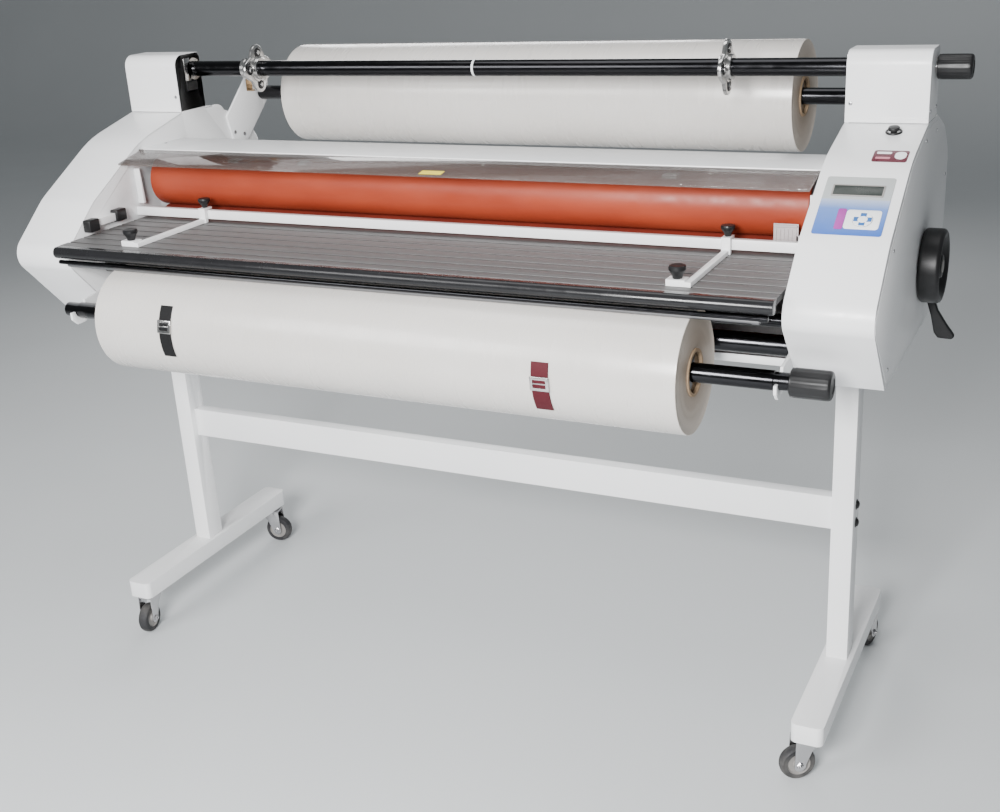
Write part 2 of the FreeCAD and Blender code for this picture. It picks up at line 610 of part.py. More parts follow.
for side, sign in (("left", -1.0), ("right", 1.0)):
    start = S.inside_half if sign > 0 else -(S.inside_half + S.frame_thick)
    points = inset(outline, frame_inset)
    slot_half = S.journal_radius + S.slot_gap
    slot = [
        (S.nip_deep - slot_half, top_roller_high - slot_half),
        (S.nip_deep + slot_half, top_roller_high - slot_half),
        (S.nip_deep + slot_half, top_roller_high + S.lift_travel + slot_half),
        (S.nip_deep - slot_half, top_roller_high + S.lift_travel + slot_half),
    ]
    holes = [
        (S.nip_deep, S.bottom_roller_high, S.journal_radius + S.run_gap),
        (S.cam_deep, S.cam_high, S.cam_shaft_radius + S.run_gap),
        (S.idler_one_deep, S.idler_one_high, S.idler_journal + S.run_gap),
        (S.idler_two_deep, S.idler_two_high, S.idler_journal + S.run_gap),
        (S.hinge_deep, S.hinge_high, S.shield_pin + S.run_gap),
    ]
    main = plate("frame_main_" + side, points, start, S.frame_thick, holes, [slot])
    ear = plate("frame_ear_" + side,
                [(S.box_front + S.ear_front, S.crest_high - S.ear_sink),
                 (S.box_back - S.ear_back, S.crest_high - S.ear_sink),
                 (S.box_back - S.ear_back, S.box_top - S.ear_drop),
                 (S.box_front + S.ear_front, S.box_top - S.ear_drop, S.ear_round)],
                start, S.frame_thick,
                [(S.bar_deep, S.bar_high, S.bar_journal + S.run_gap)])
    lobe = rod("frame_lobe_" + side, (start, S.lobe_deep, S.lobe_high), S.lobe_radius,
               S.frame_thick)
    keep(fuse("frame_" + side, main, ear, lobe), "side_frame_" + side)

    wide = S.side_wide
    start = S.inside_half if sign > 0 else -(S.inside_half + wide)
    outer = plate("housing_outer_" + side, outline, start, wide)
    hollow = inset(outline, S.skin_thick)
    open_low = S.chin_high - S.open_past
    low_front = hollow[4][0] + S.skin_thick * 4.0
    hollow[4] = (low_front, open_low)
    hollow[5] = (hollow[5][0] - S.skin_thick * 2.0, open_low)
    hollow_start = start - S.lap if sign > 0 else start + S.skin_thick
    inner = plate("housing_inner_" + side, hollow, hollow_start,
                  wide - S.skin_thick + S.lap)
    tools = [inner]
    wall_x = S.inside_half + wide - S.skin_thick * 2.0
    # the lobe of the side frame rises through the skin
    lobe_low = S.inside_half - S.lap if sign > 0 else -(S.inside_half + S.frame_thick + S.lap)
    tools.append(rod("lobe_way_" + side, (lobe_low, S.lobe_deep, S.lobe_high),
                     S.lobe_radius + S.way_gap, S.frame_thick + S.lap * 2.0))
    # slot under the box through which the ear and its journal rise
    tools.append(box("ear_way_" + side,
                     (lobe_low, S.box_front + S.ear_front - S.way_gap,
                      S.crest_high - S.skin_thick * 2.0),
                     (lobe_low + S.frame_thick + S.lap * 2.0,
                      S.box_back - S.ear_back + S.way_gap,
                      S.crest_high + S.skin_thick * 2.0)))
    if sign > 0:
        tools.append(rod("cam_way", (wall_x, S.cam_deep, S.cam_high),
                         S.cam_shaft_radius + S.slot_gap * 2.0, S.skin_thick * 4.0))
        tools.append(rod("lever_way", (wall_x, S.lever_deep, S.lever_high),
                         S.lever_shaft + S.run_gap, S.skin_thick * 4.0))
        slope = math.degrees(math.atan2(S.crest_high.value - S.brow_high.value,
                                        S.crest_front.value - S.brow_deep.value))
        stop_high = S.brow_high.value + math.tan(math.radians(slope)) * (
            S.stop_deep.value - S.brow_deep.value)
        slope_turn = FreeCAD.Rotation(FreeCAD.Vector(1, 0, 0), slope)
        sin_stop, cos_stop = math.sin(math.radians(slope)), math.cos(math.radians(slope))
        reach = S.skin_reach.value
        way = doc.addObject("Part::Cylinder", "stop_way")
        way.Placement = FreeCAD.Placement(
            FreeCAD.Vector(0, S.stop_deep.value + reach * sin_stop,
                           stop_high - reach * cos_stop), slope_turn)
        bind(way, "Radius", S.stop_stalk + S.stalk_gap)
        bind(way, "Height", S.skin_reach * 2.0)
        bind(way, "Placement.Base.x", S.stop_x)
        tools.append(way)
        # the nav key passes through the sloped skin under the panel
        lean = math.degrees(math.atan2(S.brow_high.value - S.cheek_high.value,
                                       S.brow_deep.value - S.cheek_deep.value))
        across = math.cos(math.radians(lean))
        fall = math.sin(math.radians(lean))
        panel_high = S.brow_high.value - math.tan(math.radians(lean)) * (
            S.brow_deep.value - S.panel_deep.value)
        key_y = S.panel_deep.value - S.key_down.value * across
        key_z = panel_high - S.key_down.value * fall
        key_way = doc.addObject("Part::Cylinder", "key_way")
        key_way.Placement = FreeCAD.Placement(
            FreeCAD.Vector(0, key_y + reach * fall, key_z - reach * across),
            FreeCAD.Rotation(FreeCAD.Vector(1, 0, 0), lean))
        bind(key_way, "Radius", S.key_post + S.key_gap)
        bind(key_way, "Height", S.skin_reach * 2.0)
        bind(key_way, "Placement.Base.x", S.key_x)
        tools.append(key_way)
    keep(cut("housing_cut_" + side, outer, *tools), "housing_" + side)

# ---------------------------------------------------------------- top boxes
lid_outline = [
    (S.box_front, S.box_low), (S.box_back, S.box_low),
    (S.box_back, S.box_top, S.box_round * 0.5), (S.box_front, S.box_top, S.box_round),
]
for side, sign in (("left", -1.0), ("right", 1.0)):
    start = S.inside_half if sign > 0 else -(S.inside_half + S.side_wide)
    outer = plate("lid_outer_" + side, lid_outline, start, S.side_wide)
    hollow = inset(lid_outline, S.skin_thick)
    hollow[0] = (hollow[0][0], S.box_low - S.lap)
    hollow[1] = (hollow[1][0], S.box_low - S.lap)
    inner_start = start - S.lap if sign > 0 else start + S.skin_thick
    inner = plate("lid_inner_" + side, hollow, inner_start,
                  S.side_wide - S.skin_thick + S.lap)
    tools = [inner]
    if sign > 0:
        tools.append(rod("bar_way", (S.inside_half + S.side_wide - S.skin_thick * 2.0,
                                     S.bar_deep, S.bar_high),
                         S.bar_journal + S.slot_gap, S.skin_thick * 4.0))
    keep(cut("lid_cut_" + side, outer, *tools), "shaft_box_" + side)

# ---------------------------------------------------------------- rollers
core_void = S.core_radius - S.core_wall
void_half = S.roller_half - S.end_plug
hollow_core = [
    (-S.journal_half, S.heater_bore), (-S.journal_half, S.journal_radius),
    (-S.roller_half, S.journal_radius), (-S.roller_half, S.core_radius),
    (S.roller_half, S.core_radius), (S.roller_half, S.journal_radius),
    (S.journal_half, S.journal_radius), (S.journal_half, S.heater_bore),
    (void_half, S.heater_bore), (void_half, core_void),
    (-void_half, core_void), (-void_half, S.heater_bore),
]
for label, high in (("top", top_roller_high), ("bottom", S.bottom_roller_high)):
    keep(turned(label + "_sleeve", S.nip_deep, high,
                ring(S.core_radius, S.roller_radius, -S.roller_half, S.roller_half)),
         label + "_roller_sleeve")
    keep(turned(label + "_core", S.nip_deep, high, hollow_core),
         label + "_roller_core")

# carriages carry the top roller and are lifted by the cams
carriage_x = S.inside_half + S.frame_thick + S.carriage_gap
pad_low = S.cam_high + S.cam_low + S.cam_clear
carriage_parts = []
for side, sign in (("left", -1.0), ("right", 1.0)):
    start = carriage_x if sign > 0 else -(carriage_x + S.carriage_thick)
    nip, cam = S.nip_deep, S.cam_deep
    half, pad = S.carriage_half, S.pad_half
    points = [
        (nip - half, top_roller_high + half), (nip - half, top_roller_high - half),
        (nip + half, pad_low + half), (cam - pad, pad_low),
        (cam + pad, pad_low), (cam + pad, pad_low + S.pad_thick),
        (nip + half, top_roller_high + half),
    ]
    carriage_parts.append(plate("carriage_" + side, points, start, S.carriage_thick,
                                [(nip, top_roller_high,
                                  S.journal_radius + S.run_gap)]))
keep(group("carriage_pair", *carriage_parts), "lift_carriages")

# cams: radius grows steadily over half a turn
def snail(name, start):
    body = doc.addObject("PartDesign::Body", name)
    sketch = sketch_on(body, name + "_outline", "YZ_Plane", start)
    points = []
    steps = 12
    for i in range(steps + 1):
        angle = math.radians(90.0 - 180.0 * i / steps)
        radius = S.cam_low + S.lift_travel * (float(i) / steps)
        points.append((radius * math.cos(angle), radius * math.sin(angle)))
    points.append((S.cam_low * -0.9, S.cam_low * -1.0))
    points.append((S.cam_low * -0.98, S.cam_low * 0.1))
    points.append((S.cam_low * -0.7, S.cam_low * 0.7))
    draw_loop(sketch, points, "p")
    pad = body.newObject("PartDesign::Pad", name + "_pad")
    pad.Profile = sketch
    bind(pad, "Length", S.cam_wide)
    doc.recompute()
    bind(body, "Placement.Base.y", S.cam_deep)
    bind(body, "Placement.Base.z", S.cam_high)
    return body


cam_right = snail("cam_right", carriage_x)
cam_left = snail("cam_left", -(carriage_x + S.cam_wide))
wheel_face = S.inside_half + S.side_wide + S.outside_gap
cam_start = carriage_x + S.cam_shaft_past
hub_deep = 12.0
cam_rod = rod("cam_rod", (-cam_start, S.cam_deep, S.cam_high),
              S.cam_shaft_radius, wheel_face + hub_deep + cam_start)
keep(fuse("cam_shaft_solid", cam_rod, cam_left, cam_right), "lift_cam_shaft")

# handwheel with a dished outer face
rim = S.handwheel_radius
handwheel = turned("handwheel_solid", S.cam_deep, S.cam_high, [
    (0.0, S.cam_shaft_radius), (hub_deep, S.cam_shaft_radius), (hub_deep, 0.0),
    (S.handwheel_wide - 3.0, 0.0), (S.handwheel_wide - 3.0, 24.0),
    (S.handwheel_wide - 12.0, 28.0), (S.handwheel_wide - 12.0, rim - 16.0),
    (S.handwheel_wide, rim - 12.0), (S.handwheel_wide, rim - 4.0),
    (S.handwheel_wide - 5.0, rim), (5.0, rim), (0.0, rim - 5.0),
], x=wheel_face)
keep(handwheel, "handwheel")

# pressure lock lever: blade that widens towards its lower end
lever_x = wheel_face
boss_long = 16.0
lever_boss = rod("lever_boss", (lever_x, S.lever_deep, S.lever_high), S.lever_boss,
                 size(boss_long))
lever_shaft = rod("lever_shaft", (lever_x - S.lever_inside, S.lever_deep, S.lever_high),
                  S.lever_shaft, S.lever_inside + boss_long * 0.5)
lever_body = doc.addObject("PartDesign::Body", "lever_blade")
lever_sketch = sketch_on(lever_body, "lever_outline", "XZ_Plane",
                         -(S.lever_deep + S.lever_thick * 0.5))
blade_low = S.lever_high - S.lever_drop
draw_loop(lever_sketch, [
    (lever_x + 4.0, S.lever_high + 6.0), (lever_x + 16.0, S.lever_high + 6.0),
    (lever_x + 28.0, S.lever_high - 30.0), (lever_x + S.lever_out, blade_low + 6.0),
    (lever_x + S.lever_out - 4.0, blade_low), (lever_x + 27.0, blade_low),
    (lever_x + 14.0, S.lever_high - 34.0), (lever_x + 4.0, S.lever_high - 12.0),
], "p")
lever_pad = lever_body.newObject("PartDesign::Pad", "lever_pad")
lever_pad.Profile = lever_sketch
bind(lever_pad, "Length", S.lever_thick)
doc.recompute()
keep(fuse("lever_solid", lever_boss, lever_shaft, lever_body), "lock_lever")

# gear motor on the left end of the bottom roller
motor_x = carriage_x + S.carriage_thick + S.motor_gap
half_motor = S.motor_wide * 0.5
motor_block = box("motor_block",
                  (-(motor_x + S.motor_long * 0.5), S.nip_deep - half_motor,
                   S.bottom_roller_high - half_motor),
                  (-motor_x, S.nip_deep + half_motor, S.bottom_roller_high + 10.0))
motor_can = rod("motor_can", (-(motor_x + S.motor_long), S.nip_deep,
                              S.bottom_roller_high - 8.0), half_motor * 0.78,
                S.motor_long * 0.5)
keep(fuse("motor_solid", motor_block, motor_can), "drive_motor")

# ---------------------------------------------------------------- feed table
table_low = S.table_top - S.table_thick
slab = box("table_slab", (-S.table_half, S.table_front, table_low),
           (S.table_half, S.table_back, S.table_top))
flange_near = S.table_front + S.flange_front
flange_far = S.table_back - S.flange_back
flange_low = table_low - S.flange_high
flange_top = table_low + S.flange_thick
flange_in = S.inside_half - S.flange_thick
flange_left = box("table_flange_left", (-S.inside_half, flange_near, flange_low),
                  (-flange_in, flange_far, flange_top))
flange_right = box("table_flange_right", (flange_in, flange_near, flange_low),
                   (S.inside_half, flange_far, flange_top))
grooves = []
for n in range(6):
    front = S.table_front + S.first_groove + S.groove_pitch * float(n)
    grooves.append(box("groove_%d" % n,
                       (-S.table_half - S.lap, front, S.table_top - S.groove_deep),
                       (S.table_half + S.lap, front + S.groove_wide, S.table_top + S.lap)))
keep(cut("table_cut", fuse("table_solid", slab, flange_left, flange_right), *grooves),
     "feed_table")

# rounded black lip along the front of the table
lip_high = S.table_top - S.lip_radius
lip_front = S.table_front - S.lip_deep
lip = plate("lip_bar", [
    (lip_front, S.table_top, S.lip_radius * 0.9),
    (lip_front, lip_high - S.lip_radius, S.lip_radius * 0.9),
    (S.table_front, lip_high - S.lip_radius), (S.table_front, S.table_top),
], -S.table_half, S.table_half * 2.0)
keep(lip, "table_lip")

# media rail across the back of the table
rail_back = S.rail_front + S.rail_deep
rail_half = S.inside_half
rail_outer = box("rail_outer", (-rail_half, S.rail_front, S.rail_low),
                 (rail_half, rail_back, S.rail_low + S.rail_high))
rail_top = S.rail_low + S.rail_high
rail_inner = box("rail_inner", (-rail_half - S.lap, S.rail_front + S.rail_wall,
                                S.rail_low + S.rail_wall),
                 (rail_half + S.lap, rail_back - S.rail_wall, rail_top - S.rail_wall))
keep(cut("rail_cut", rail_outer, rail_inner), "guide_rail")

for side, at in (("left", S.guide_left_x), ("right", S.guide_right_x)):
    half = S.guide_wide * 0.5
    low = S.table_top + S.guide_lift
    arm_top = low + S.guide_high
    rail_face = S.rail_front - S.guide_gap
    post_front = rail_face - S.post_thick
    toe_near = S.table_front + S.toe_front
    toe_far = S.table_front + S.toe_back
    arm = box("guide_arm_" + side, (at - half, toe_near, low),
              (at + half, rail_face, arm_top))
    toe = box("guide_toe_" + side, (at - S.toe_left, toe_near, low),
              (at - half + S.lap, toe_far, low + S.toe_thick))
    post = box("guide_post_" + side, (at - S.post_half, post_front, low),
               (at + S.post_half, rail_face, arm_top + S.post_rise))
    hook = box("guide_hook_" + side, (at - S.post_half, post_front,
                                      rail_top + S.guide_gap),
               (at + S.post_half, rail_back + S.guide_gap + S.hook_thick,
                arm_top + S.hook_rise))
    keep(fuse("guide_solid_" + side, arm, toe, post, hook), "side_guide_" + side)
    knob_rear = cone("knob_rear_" + side, (at, rail_face + 4.0, arm_top + S.hook_rise),
                     S.knob_neck, S.knob_brim, S.knob_high)
    toe_middle = (toe_near + toe_far) * 0.5
    knob_front = cone("knob_front_" + side,
                      (at - half - S.cup_brim, toe_middle, low + S.toe_thick),
                      S.cup_neck, S.cup_brim, S.cup_high)
    keep(group("guide_knob_pair_" + side, knob_rear, knob_front), "guide_knobs_" + side)

# white corner guards beside the roller ends
guards = []
for side, sign in (("left", -1.0), ("right", 1.0)):
    near = S.inside_half - S.guard_wide if sign > 0 else -S.inside_half
    guard_deep = S.nip_deep - S.roller_radius - S.guard_gap
    body = plate("guard_" + side, [
        (guard_deep - 8.0, top_roller_high + 38.0),
        (guard_deep - 6.0, top_roller_high + 38.0),
        (guard_deep, top_roller_high - 44.0),
        (guard_deep - 8.0, top_roller_high - 44.0),
    ], near, S.guard_wide)
    guards.append(body)
keep(group("guard_pair", *guards), "roller_guards")

# ---------------------------------------------------------------- covers
skin = S.sheet_thick
keep(plate("cover_sheet", [
    (S.cover_front, S.cover_high), (S.cover_front, S.cover_high - S.cover_lip),
    (S.cover_front + skin, S.cover_high - S.cover_lip),
    (S.cover_front + skin, S.cover_high - skin),
    (S.cover_back - skin, S.cover_high - skin),
    (S.cover_back - skin, S.cover_high - 26.0), (S.cover_back, S.cover_high - 26.0),
    (S.cover_back, S.cover_high),
], -S.inside_half, S.inside_half * 2.0), "top_cover")

shield_half = S.inside_half - S.shield_gap
shield_body = plate("shield_sheet", [
    (S.hinge_deep + 2.0, S.hinge_high + 2.0), (S.hinge_deep - 3.0, S.hinge_high + 2.0),
    (S.hinge_deep - S.shield_out, S.hinge_high - S.shield_fall),
    (S.hinge_deep - S.shield_out, S.hinge_high - S.shield_fall - S.shield_thick),
    (S.hinge_deep - 3.0, S.hinge_high - 2.0), (S.hinge_deep + 2.0, S.hinge_high - 2.0),
], -shield_half, shield_half * 2.0)
pin_end = S.inside_half + S.pin_reach
pin_left = rod("shield_pin_left", (-pin_end, S.hinge_deep, S.hinge_high),
               S.shield_pin, S.pin_long)
pin_right = rod("shield_pin_right", (pin_end - S.pin_long, S.hinge_deep, S.hinge_high),
                S.shield_pin, S.pin_long)
keep(fuse("shield_solid", shield_body, pin_left, pin_right), "nip_shield")

keep(plate("hood_sheet", [
    (S.hood_front, S.hood_high), (S.hood_front, S.hood_high - 14.0),
    (S.hood_front + skin, S.hood_high - 14.0), (S.hood_front + skin, S.hood_high - skin),
    (S.back_deep - 8.0, S.hood_low - skin), (S.back_deep - 8.0, S.hood_low - 16.0),
    (S.back_deep - 6.0, S.hood_low - 16.0), (S.back_deep - 6.0, S.hood_low),
], -S.inside_half, S.inside_half * 2.0), "rear_hood")

exit_edge = S.back_deep + 4.0
keep(plate("exit_sheet", [
    (S.nip_deep + 84.0, S.exit_high), (S.nip_deep + 84.0, S.exit_high - skin),
    (exit_edge - skin, S.exit_high - skin), (exit_edge - skin, S.exit_high - 22.0),
    (exit_edge, S.exit_high - 22.0), (exit_edge, S.exit_high),
], -(S.inside_half - 1.0), (S.inside_half - 1.0) * 2.0), "exit_table")

keep(plate("pan_sheet", [
    (S.pan_front, S.pan_high + S.pan_lip), (S.pan_front, S.pan_high),
    (S.heel_deep, S.pan_high), (S.back_deep - 7.0, S.back_low),
    (S.back_deep - 9.0, S.back_low), (S.heel_deep - skin, S.pan_high + skin),
    (S.pan_front + skin, S.pan_high + skin), (S.pan_front + skin, S.pan_high + S.pan_lip),
], -S.inside_half, S.inside_half * 2.0), "base_pan")

# ---------------------------------------------------------------- top bar
bar_end = S.inside_half - 6.0
knob_face = wheel_face
keep(turned("bar_solid", S.bar_deep, S.bar_high,
            stepped((-(S.inside_half + 40.0), S.bar_journal), (-bar_end, S.bar_radius),
                    (bar_end, S.bar_journal), (knob_face + 10.0, S.bar_journal))),
     "takeup_bar")
knob = S.knob_radius
keep(turned("bar_knob", S.bar_deep, S.bar_high, [
    (0.0, S.bar_journal), (10.0, S.bar_journal), (10.0, 0.0), (S.knob_long, 0.0),
    (S.knob_long, knob - 2.0), (S.knob_long - 2.0, knob), (2.0, knob), (0.0, knob - 2.0),
], x=knob_face), "takeup_knob")


def chuck(name, at):
    """Core chuck: a collar on the bar with four round lobes."""
    collar = turned(name + "_collar", S.bar_deep, S.bar_high,
                    ring(S.bar_radius + S.run_gap, S.bar_radius + 9.0,
                         S.chuck_wide * -0.5, S.chuck_wide * 0.5), x=at)
    lobes = []
    for n in range(4):
        angle = math.radians(90.0 * n)
        reach = S.chuck_radius - 14.0
        lobes.append(rod("%s_lobe%d" % (name, n),
                         (size(at) - 4.0, S.bar_deep + reach * math.cos(angle),
                          S.bar_high + reach * math.sin(angle)), size(14.0), size(8.0)))
    web = turned(name + "_web", S.bar_deep, S.bar_high,
                 ring(S.bar_radius + S.run_gap, S.chuck_radius - 12.0, -4.0, 4.0), x=at)
    return fuse(name, collar, web, *lobes)


keep(chuck("chuck_one", S.chuck_left_x), "core_chuck_left")
keep(chuck("chuck_two", S.chuck_right_x), "core_chuck_right")

# ---------------------------------------------------------------- upper film roll
core_inner = S.web_core_radius - S.web_core_wall
film_half = S.film_half
arm_inner = S.inside_half - S.arm_thick
keep(turned("supply_solid", S.supply_deep, S.supply_high,
            stepped((-(S.inside_half + S.shaft_past), S.supply_journal),
                    (-(arm_inner - 4.0), S.shaft_radius),
                    (-(film_half - 6.0), core_inner), (-(film_half - 36.0), S.shaft_radius),
                    (film_half - 36.0, core_inner), (film_half - 6.0, S.shaft_radius),
                    (arm_inner - 4.0, S.supply_journal),
                    (S.inside_half + S.shaft_past, S.supply_journal))),
     "supply_shaft")
keep(turned("supply_tube", S.supply_deep, S.supply_high,
            ring(core_inner, S.web_core_radius, -film_half, film_half)), "supply_core")
keep(turned("supply_web", S.supply_deep, S.supply_high,
            ring(S.web_core_radius, S.supply_film, -film_half, film_half)), "supply_film")

for side, sign in (("left", -1.0), ("right", 1.0)):
    start = arm_inner if sign > 0 else -S.inside_half
    points = [
        (S.arm_foot_front, S.supply_high - 40.0),
        (S.arm_foot_front + 19.0, S.supply_high - S.arm_drop),
        (S.arm_foot_back, S.supply_high - S.arm_drop),
        (S.supply_deep + 6.0, S.supply_high - 36.0),
        (S.supply_deep + 34.0, S.supply_high - 10.0, 14.0),
        (S.supply_deep + 34.0, S.supply_high + 40.0, 18.0),
        (S.supply_deep - 54.0, S.supply_high + 52.0, 18.0),
    ]
    arm = plate("supply_arm_" + side, points, start, S.arm_thick,
                [(S.supply_deep, S.supply_high, S.supply_journal + S.run_gap)])
    keep(arm, "supply_arm_" + side)

# ---------------------------------------------------------------- lower film roll
lower_knob_x = S.inside_half + 18.0
keep(turned("lower_solid", S.lower_deep, S.lower_high,
            stepped((-(S.inside_half + 27.0), S.lower_journal),
                    (-(arm_inner - 4.0), S.shaft_radius),
                    (-(film_half - 6.0), core_inner), (-(film_half - 36.0), S.shaft_radius),
                    (film_half - 36.0, core_inner), (film_half - 6.0, S.shaft_radius),
                    (arm_inner - 4.0, S.lower_journal),
                    (lower_knob_x + 10.0, S.lower_journal))),
     "lower_shaft")
grip = S.lower_knob_radius
keep(turned("lower_knob_solid", S.lower_deep, S.lower_high, [
    (0.0, S.lower_journal), (10.0, S.lower_journal), (10.0, 0.0), (S.lower_knob_long, 0.0),
    (S.lower_knob_long, grip - 2.0), (S.lower_knob_long - 2.0, grip), (2.0, grip),
    (0.0, grip - 2.0),
], x=lower_knob_x), "lower_shaft_knob")
keep(turned("lower_tube", S.lower_deep, S.lower_high,
            ring(core_inner, S.web_core_radius, -film_half, film_half)), "lower_core")
keep(turned("lower_web", S.lower_deep, S.lower_high,
            ring(S.web_core_radius, S.lower_film, -film_half, film_half)), "lower_film")

cradles = []
for side, sign in (("left", -1.0), ("right", 1.0)):
    start = arm_inner if sign > 0 else -S.inside_half
    deep, high = S.lower_deep, S.lower_high
    seat = S.lower_journal + S.cradle_gap
    blank = plate("cradle_blank_" + side, [
        (deep + 130.0, high - 24.0), (deep + 130.0, high + 34.0),
        (deep + seat + 6.0, high + 20.0), (deep + seat, high + 20.0),
        (deep + seat, high - 24.0),
    ], start, S.arm_thick)
    cup = plate("cradle_cup_" + side, [
        (deep + seat + 1.0, high - 24.0), (deep + seat + 1.0, high),
        (deep - seat - 12.0, high), (deep - seat - 12.0, high - 16.0),
        (deep - seat + 2.0, high - 30.0), (deep + 10.0, high - 30.0),
    ], start, S.arm_thick)
    notch = rod("cradle_notch_" + side, (size(start) - S.lap, deep, high), seat,
                S.arm_thick + S.lap * 2.0)
    cradles.append(cut("cradle_" + side, fuse("cradle_solid_" + side, blank, cup), notch))
keep(group("cradle_pair", *cradles), "shaft_cradles")

# ---------------------------------------------------------------- idlers
for label, deep, high, radius in (
        ("web_idler_front", S.idler_one_deep, S.idler_one_high, S.idler_one_radius),
        ("web_idler_rear", S.idler_two_deep, S.idler_two_high, S.idler_two_radius)):
    half = S.inside_half - S.idler_gap
    end = S.inside_half + S.frame_thick
    keep(turned(label + "_solid", deep, high,
                stepped((-end, S.idler_journal), (-half, radius),
                        (half, S.idler_journal), (end, S.idler_journal))), label)

# ---------------------------------------------------------------- controls
lean_turn = FreeCAD.Rotation(FreeCAD.Vector(1, 0, 0), lean)


def on_slope(name, low_x, high_x, down_a, down_b, lift, thick):
    """A thin slab on the sloped skin; down_a and down_b run along the slope."""
    obj = doc.addObject("Part::Box", name)
    bind(obj, "Length", size(high_x) - low_x)
    bind(obj, "Width", size(down_b) - down_a)
    bind(obj, "Height", thick)
    shift = -size(down_b).value
    y = S.panel_deep.value + shift * across - lift * fall
    z = panel_high + shift * fall + lift * across
    obj.Placement = FreeCAD.Placement(FreeCAD.Vector(size(low_x).value, y, z), lean_turn)
    bind(obj, "Placement.Base.x", low_x)
    return obj


panel_half = S.panel_long * 0.5
panel_blank = on_slope("panel_blank", S.panel_left, S.panel_left + S.panel_wide,
                       -panel_half, panel_half, S.panel_gap.value, S.panel_thick)
sink, rise = S.key_sink.value, S.key_lift.value
panel_hole = doc.addObject("Part::Cylinder", "panel_hole")
panel_hole.Placement = FreeCAD.Placement(
    FreeCAD.Vector(0, key_y + sink * fall, key_z - sink * across), lean_turn)
bind(panel_hole, "Radius", S.key_radius + S.key_gap * 0.5)
bind(panel_hole, "Height", S.key_sink * 2.0)
bind(panel_hole, "Placement.Base.x", S.key_x)
keep(cut("panel_cut", panel_blank, panel_hole), "control_panel")

key_face = doc.addObject("Part::Cylinder", "key_face")
key_face.Placement = FreeCAD.Placement(
    FreeCAD.Vector(0, key_y - rise * fall, key_z + rise * across), lean_turn)
bind(key_face, "Radius", S.key_radius)
bind(key_face, "Height", S.key_thick)
bind(key_face, "Placement.Base.x", S.key_x)
key_post = doc.addObject("Part::Cylinder", "key_post")
key_post.Placement = FreeCAD.Placement(
    FreeCAD.Vector(0, key_y + sink * fall, key_z - sink * across), lean_turn)
bind(key_post, "Radius", S.key_post)
bind(key_post, "Height", S.key_sink + S.key_lift + S.key_thick * 0.5)
bind(key_post, "Placement.Base.x", S.key_x)
keep(fuse("key_solid", key_face, key_post), "nav_key")

lift, stalk_sink = S.stop_lift.value, S.stalk_sink.value
cap = doc.addObject("Part::Cylinder", "stop_cap")
cap.Placement = FreeCAD.Placement(
    FreeCAD.Vector(0, S.stop_deep.value - lift * sin_stop, stop_high + lift * cos_stop),
    slope_turn)
bind(cap, "Radius", S.stop_radius)
bind(cap, "Height", S.stop_rise)
bind(cap, "Placement.Base.x", S.stop_x)
stalk = doc.addObject("Part::Cylinder", "stop_stalk")
stalk.Placement = FreeCAD.Placement(
    FreeCAD.Vector(0, S.stop_deep.value + stalk_sink * sin_stop,
                   stop_high - stalk_sink * cos_stop), slope_turn)
bind(stalk, "Radius", S.stop_stalk)
bind(stalk, "Height", S.stalk_sink + S.stop_lift + S.stop_rise * 0.5)
bind(stalk, "Placement.Base.x", S.stop_x)
keep(fuse("stop_solid", cap, stalk), "stop_button")

# power inlet on the left housing's outer wall near the back
inlet_x = S.inside_half + S.side_wide
inlet_tip = inlet_x + S.inlet_proud
inlet_back = S.inlet_front + S.inlet_deep
inlet_top = S.inlet_high + S.inlet_tall
rim = S.inlet_rim
inlet_flange = box("inlet_flange", (-(inlet_x + S.skin_thick), S.inlet_front, S.inlet_high),
                   (-inlet_x, inlet_back, inlet_top))
inlet_rim = box("inlet_rim", (-inlet_tip, S.inlet_front + rim, S.inlet_high + rim),
                (-(inlet_x + S.lap), inlet_back - rim, inlet_top - rim))
inlet_recess = box("inlet_recess", (-(inlet_tip + S.lap), S.inlet_front + rim * 2.0,
                                    S.inlet_high + rim * 2.0),
                   (-(inlet_x + S.lap), inlet_back - rim * 2.0, inlet_top - rim * 2.0))
keep(cut("inlet_cut", fuse("inlet_solid", inlet_flange, inlet_rim), inlet_recess),
     "power_inlet")

# ---------------------------------------------------------------- origin
# The frame's origin is on the floor under the middle of the machine's outline.
knob_tip = knob_face + S.knob_long
shift_x = (inlet_tip - knob_tip) * 0.5
front_tip = S.lower_film - S.lower_deep
rear_tip = S.supply_deep + S.supply_film
shift_y = (front_tip - rear_tip) * 0.5


def shift(obj, axis, value):
    path = ".Placement.Base." + axis
    texts = dict(obj.ExpressionEngine)
    here = texts.get(path, texts.get(path[1:], "0"))
    obj.setExpression(path[1:], "(%s) + %s" % (here, value.text))


for obj in nodes:
    shift(obj, "x", shift_x)
    shift(obj, "y", shift_y)

# ---------------------------------------------------------------- check and write
doc.recompute()
for obj in doc.Objects:
    if "Invalid" in obj.State or "Error" in obj.State:
        raise RuntimeError("failed: %s %s" % (obj.Name, obj.State))
for obj in nodes:
    if obj.Shape.isNull() or not obj.Shape.isValid():
        raise RuntimeError("bad shape: " + obj.Label)
labels = [obj.Label for obj in nodes]
if len(set(labels)) != len(labels):
    raise RuntimeError("two sub-parts share a label")
for obj in nodes:
    obj.Shape.exportStep("parts/%s.step" % obj.Label)
print("%d sub-parts written" % len(nodes))
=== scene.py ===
import json
import math

import bpy
from mathutils import Matrix, Vector


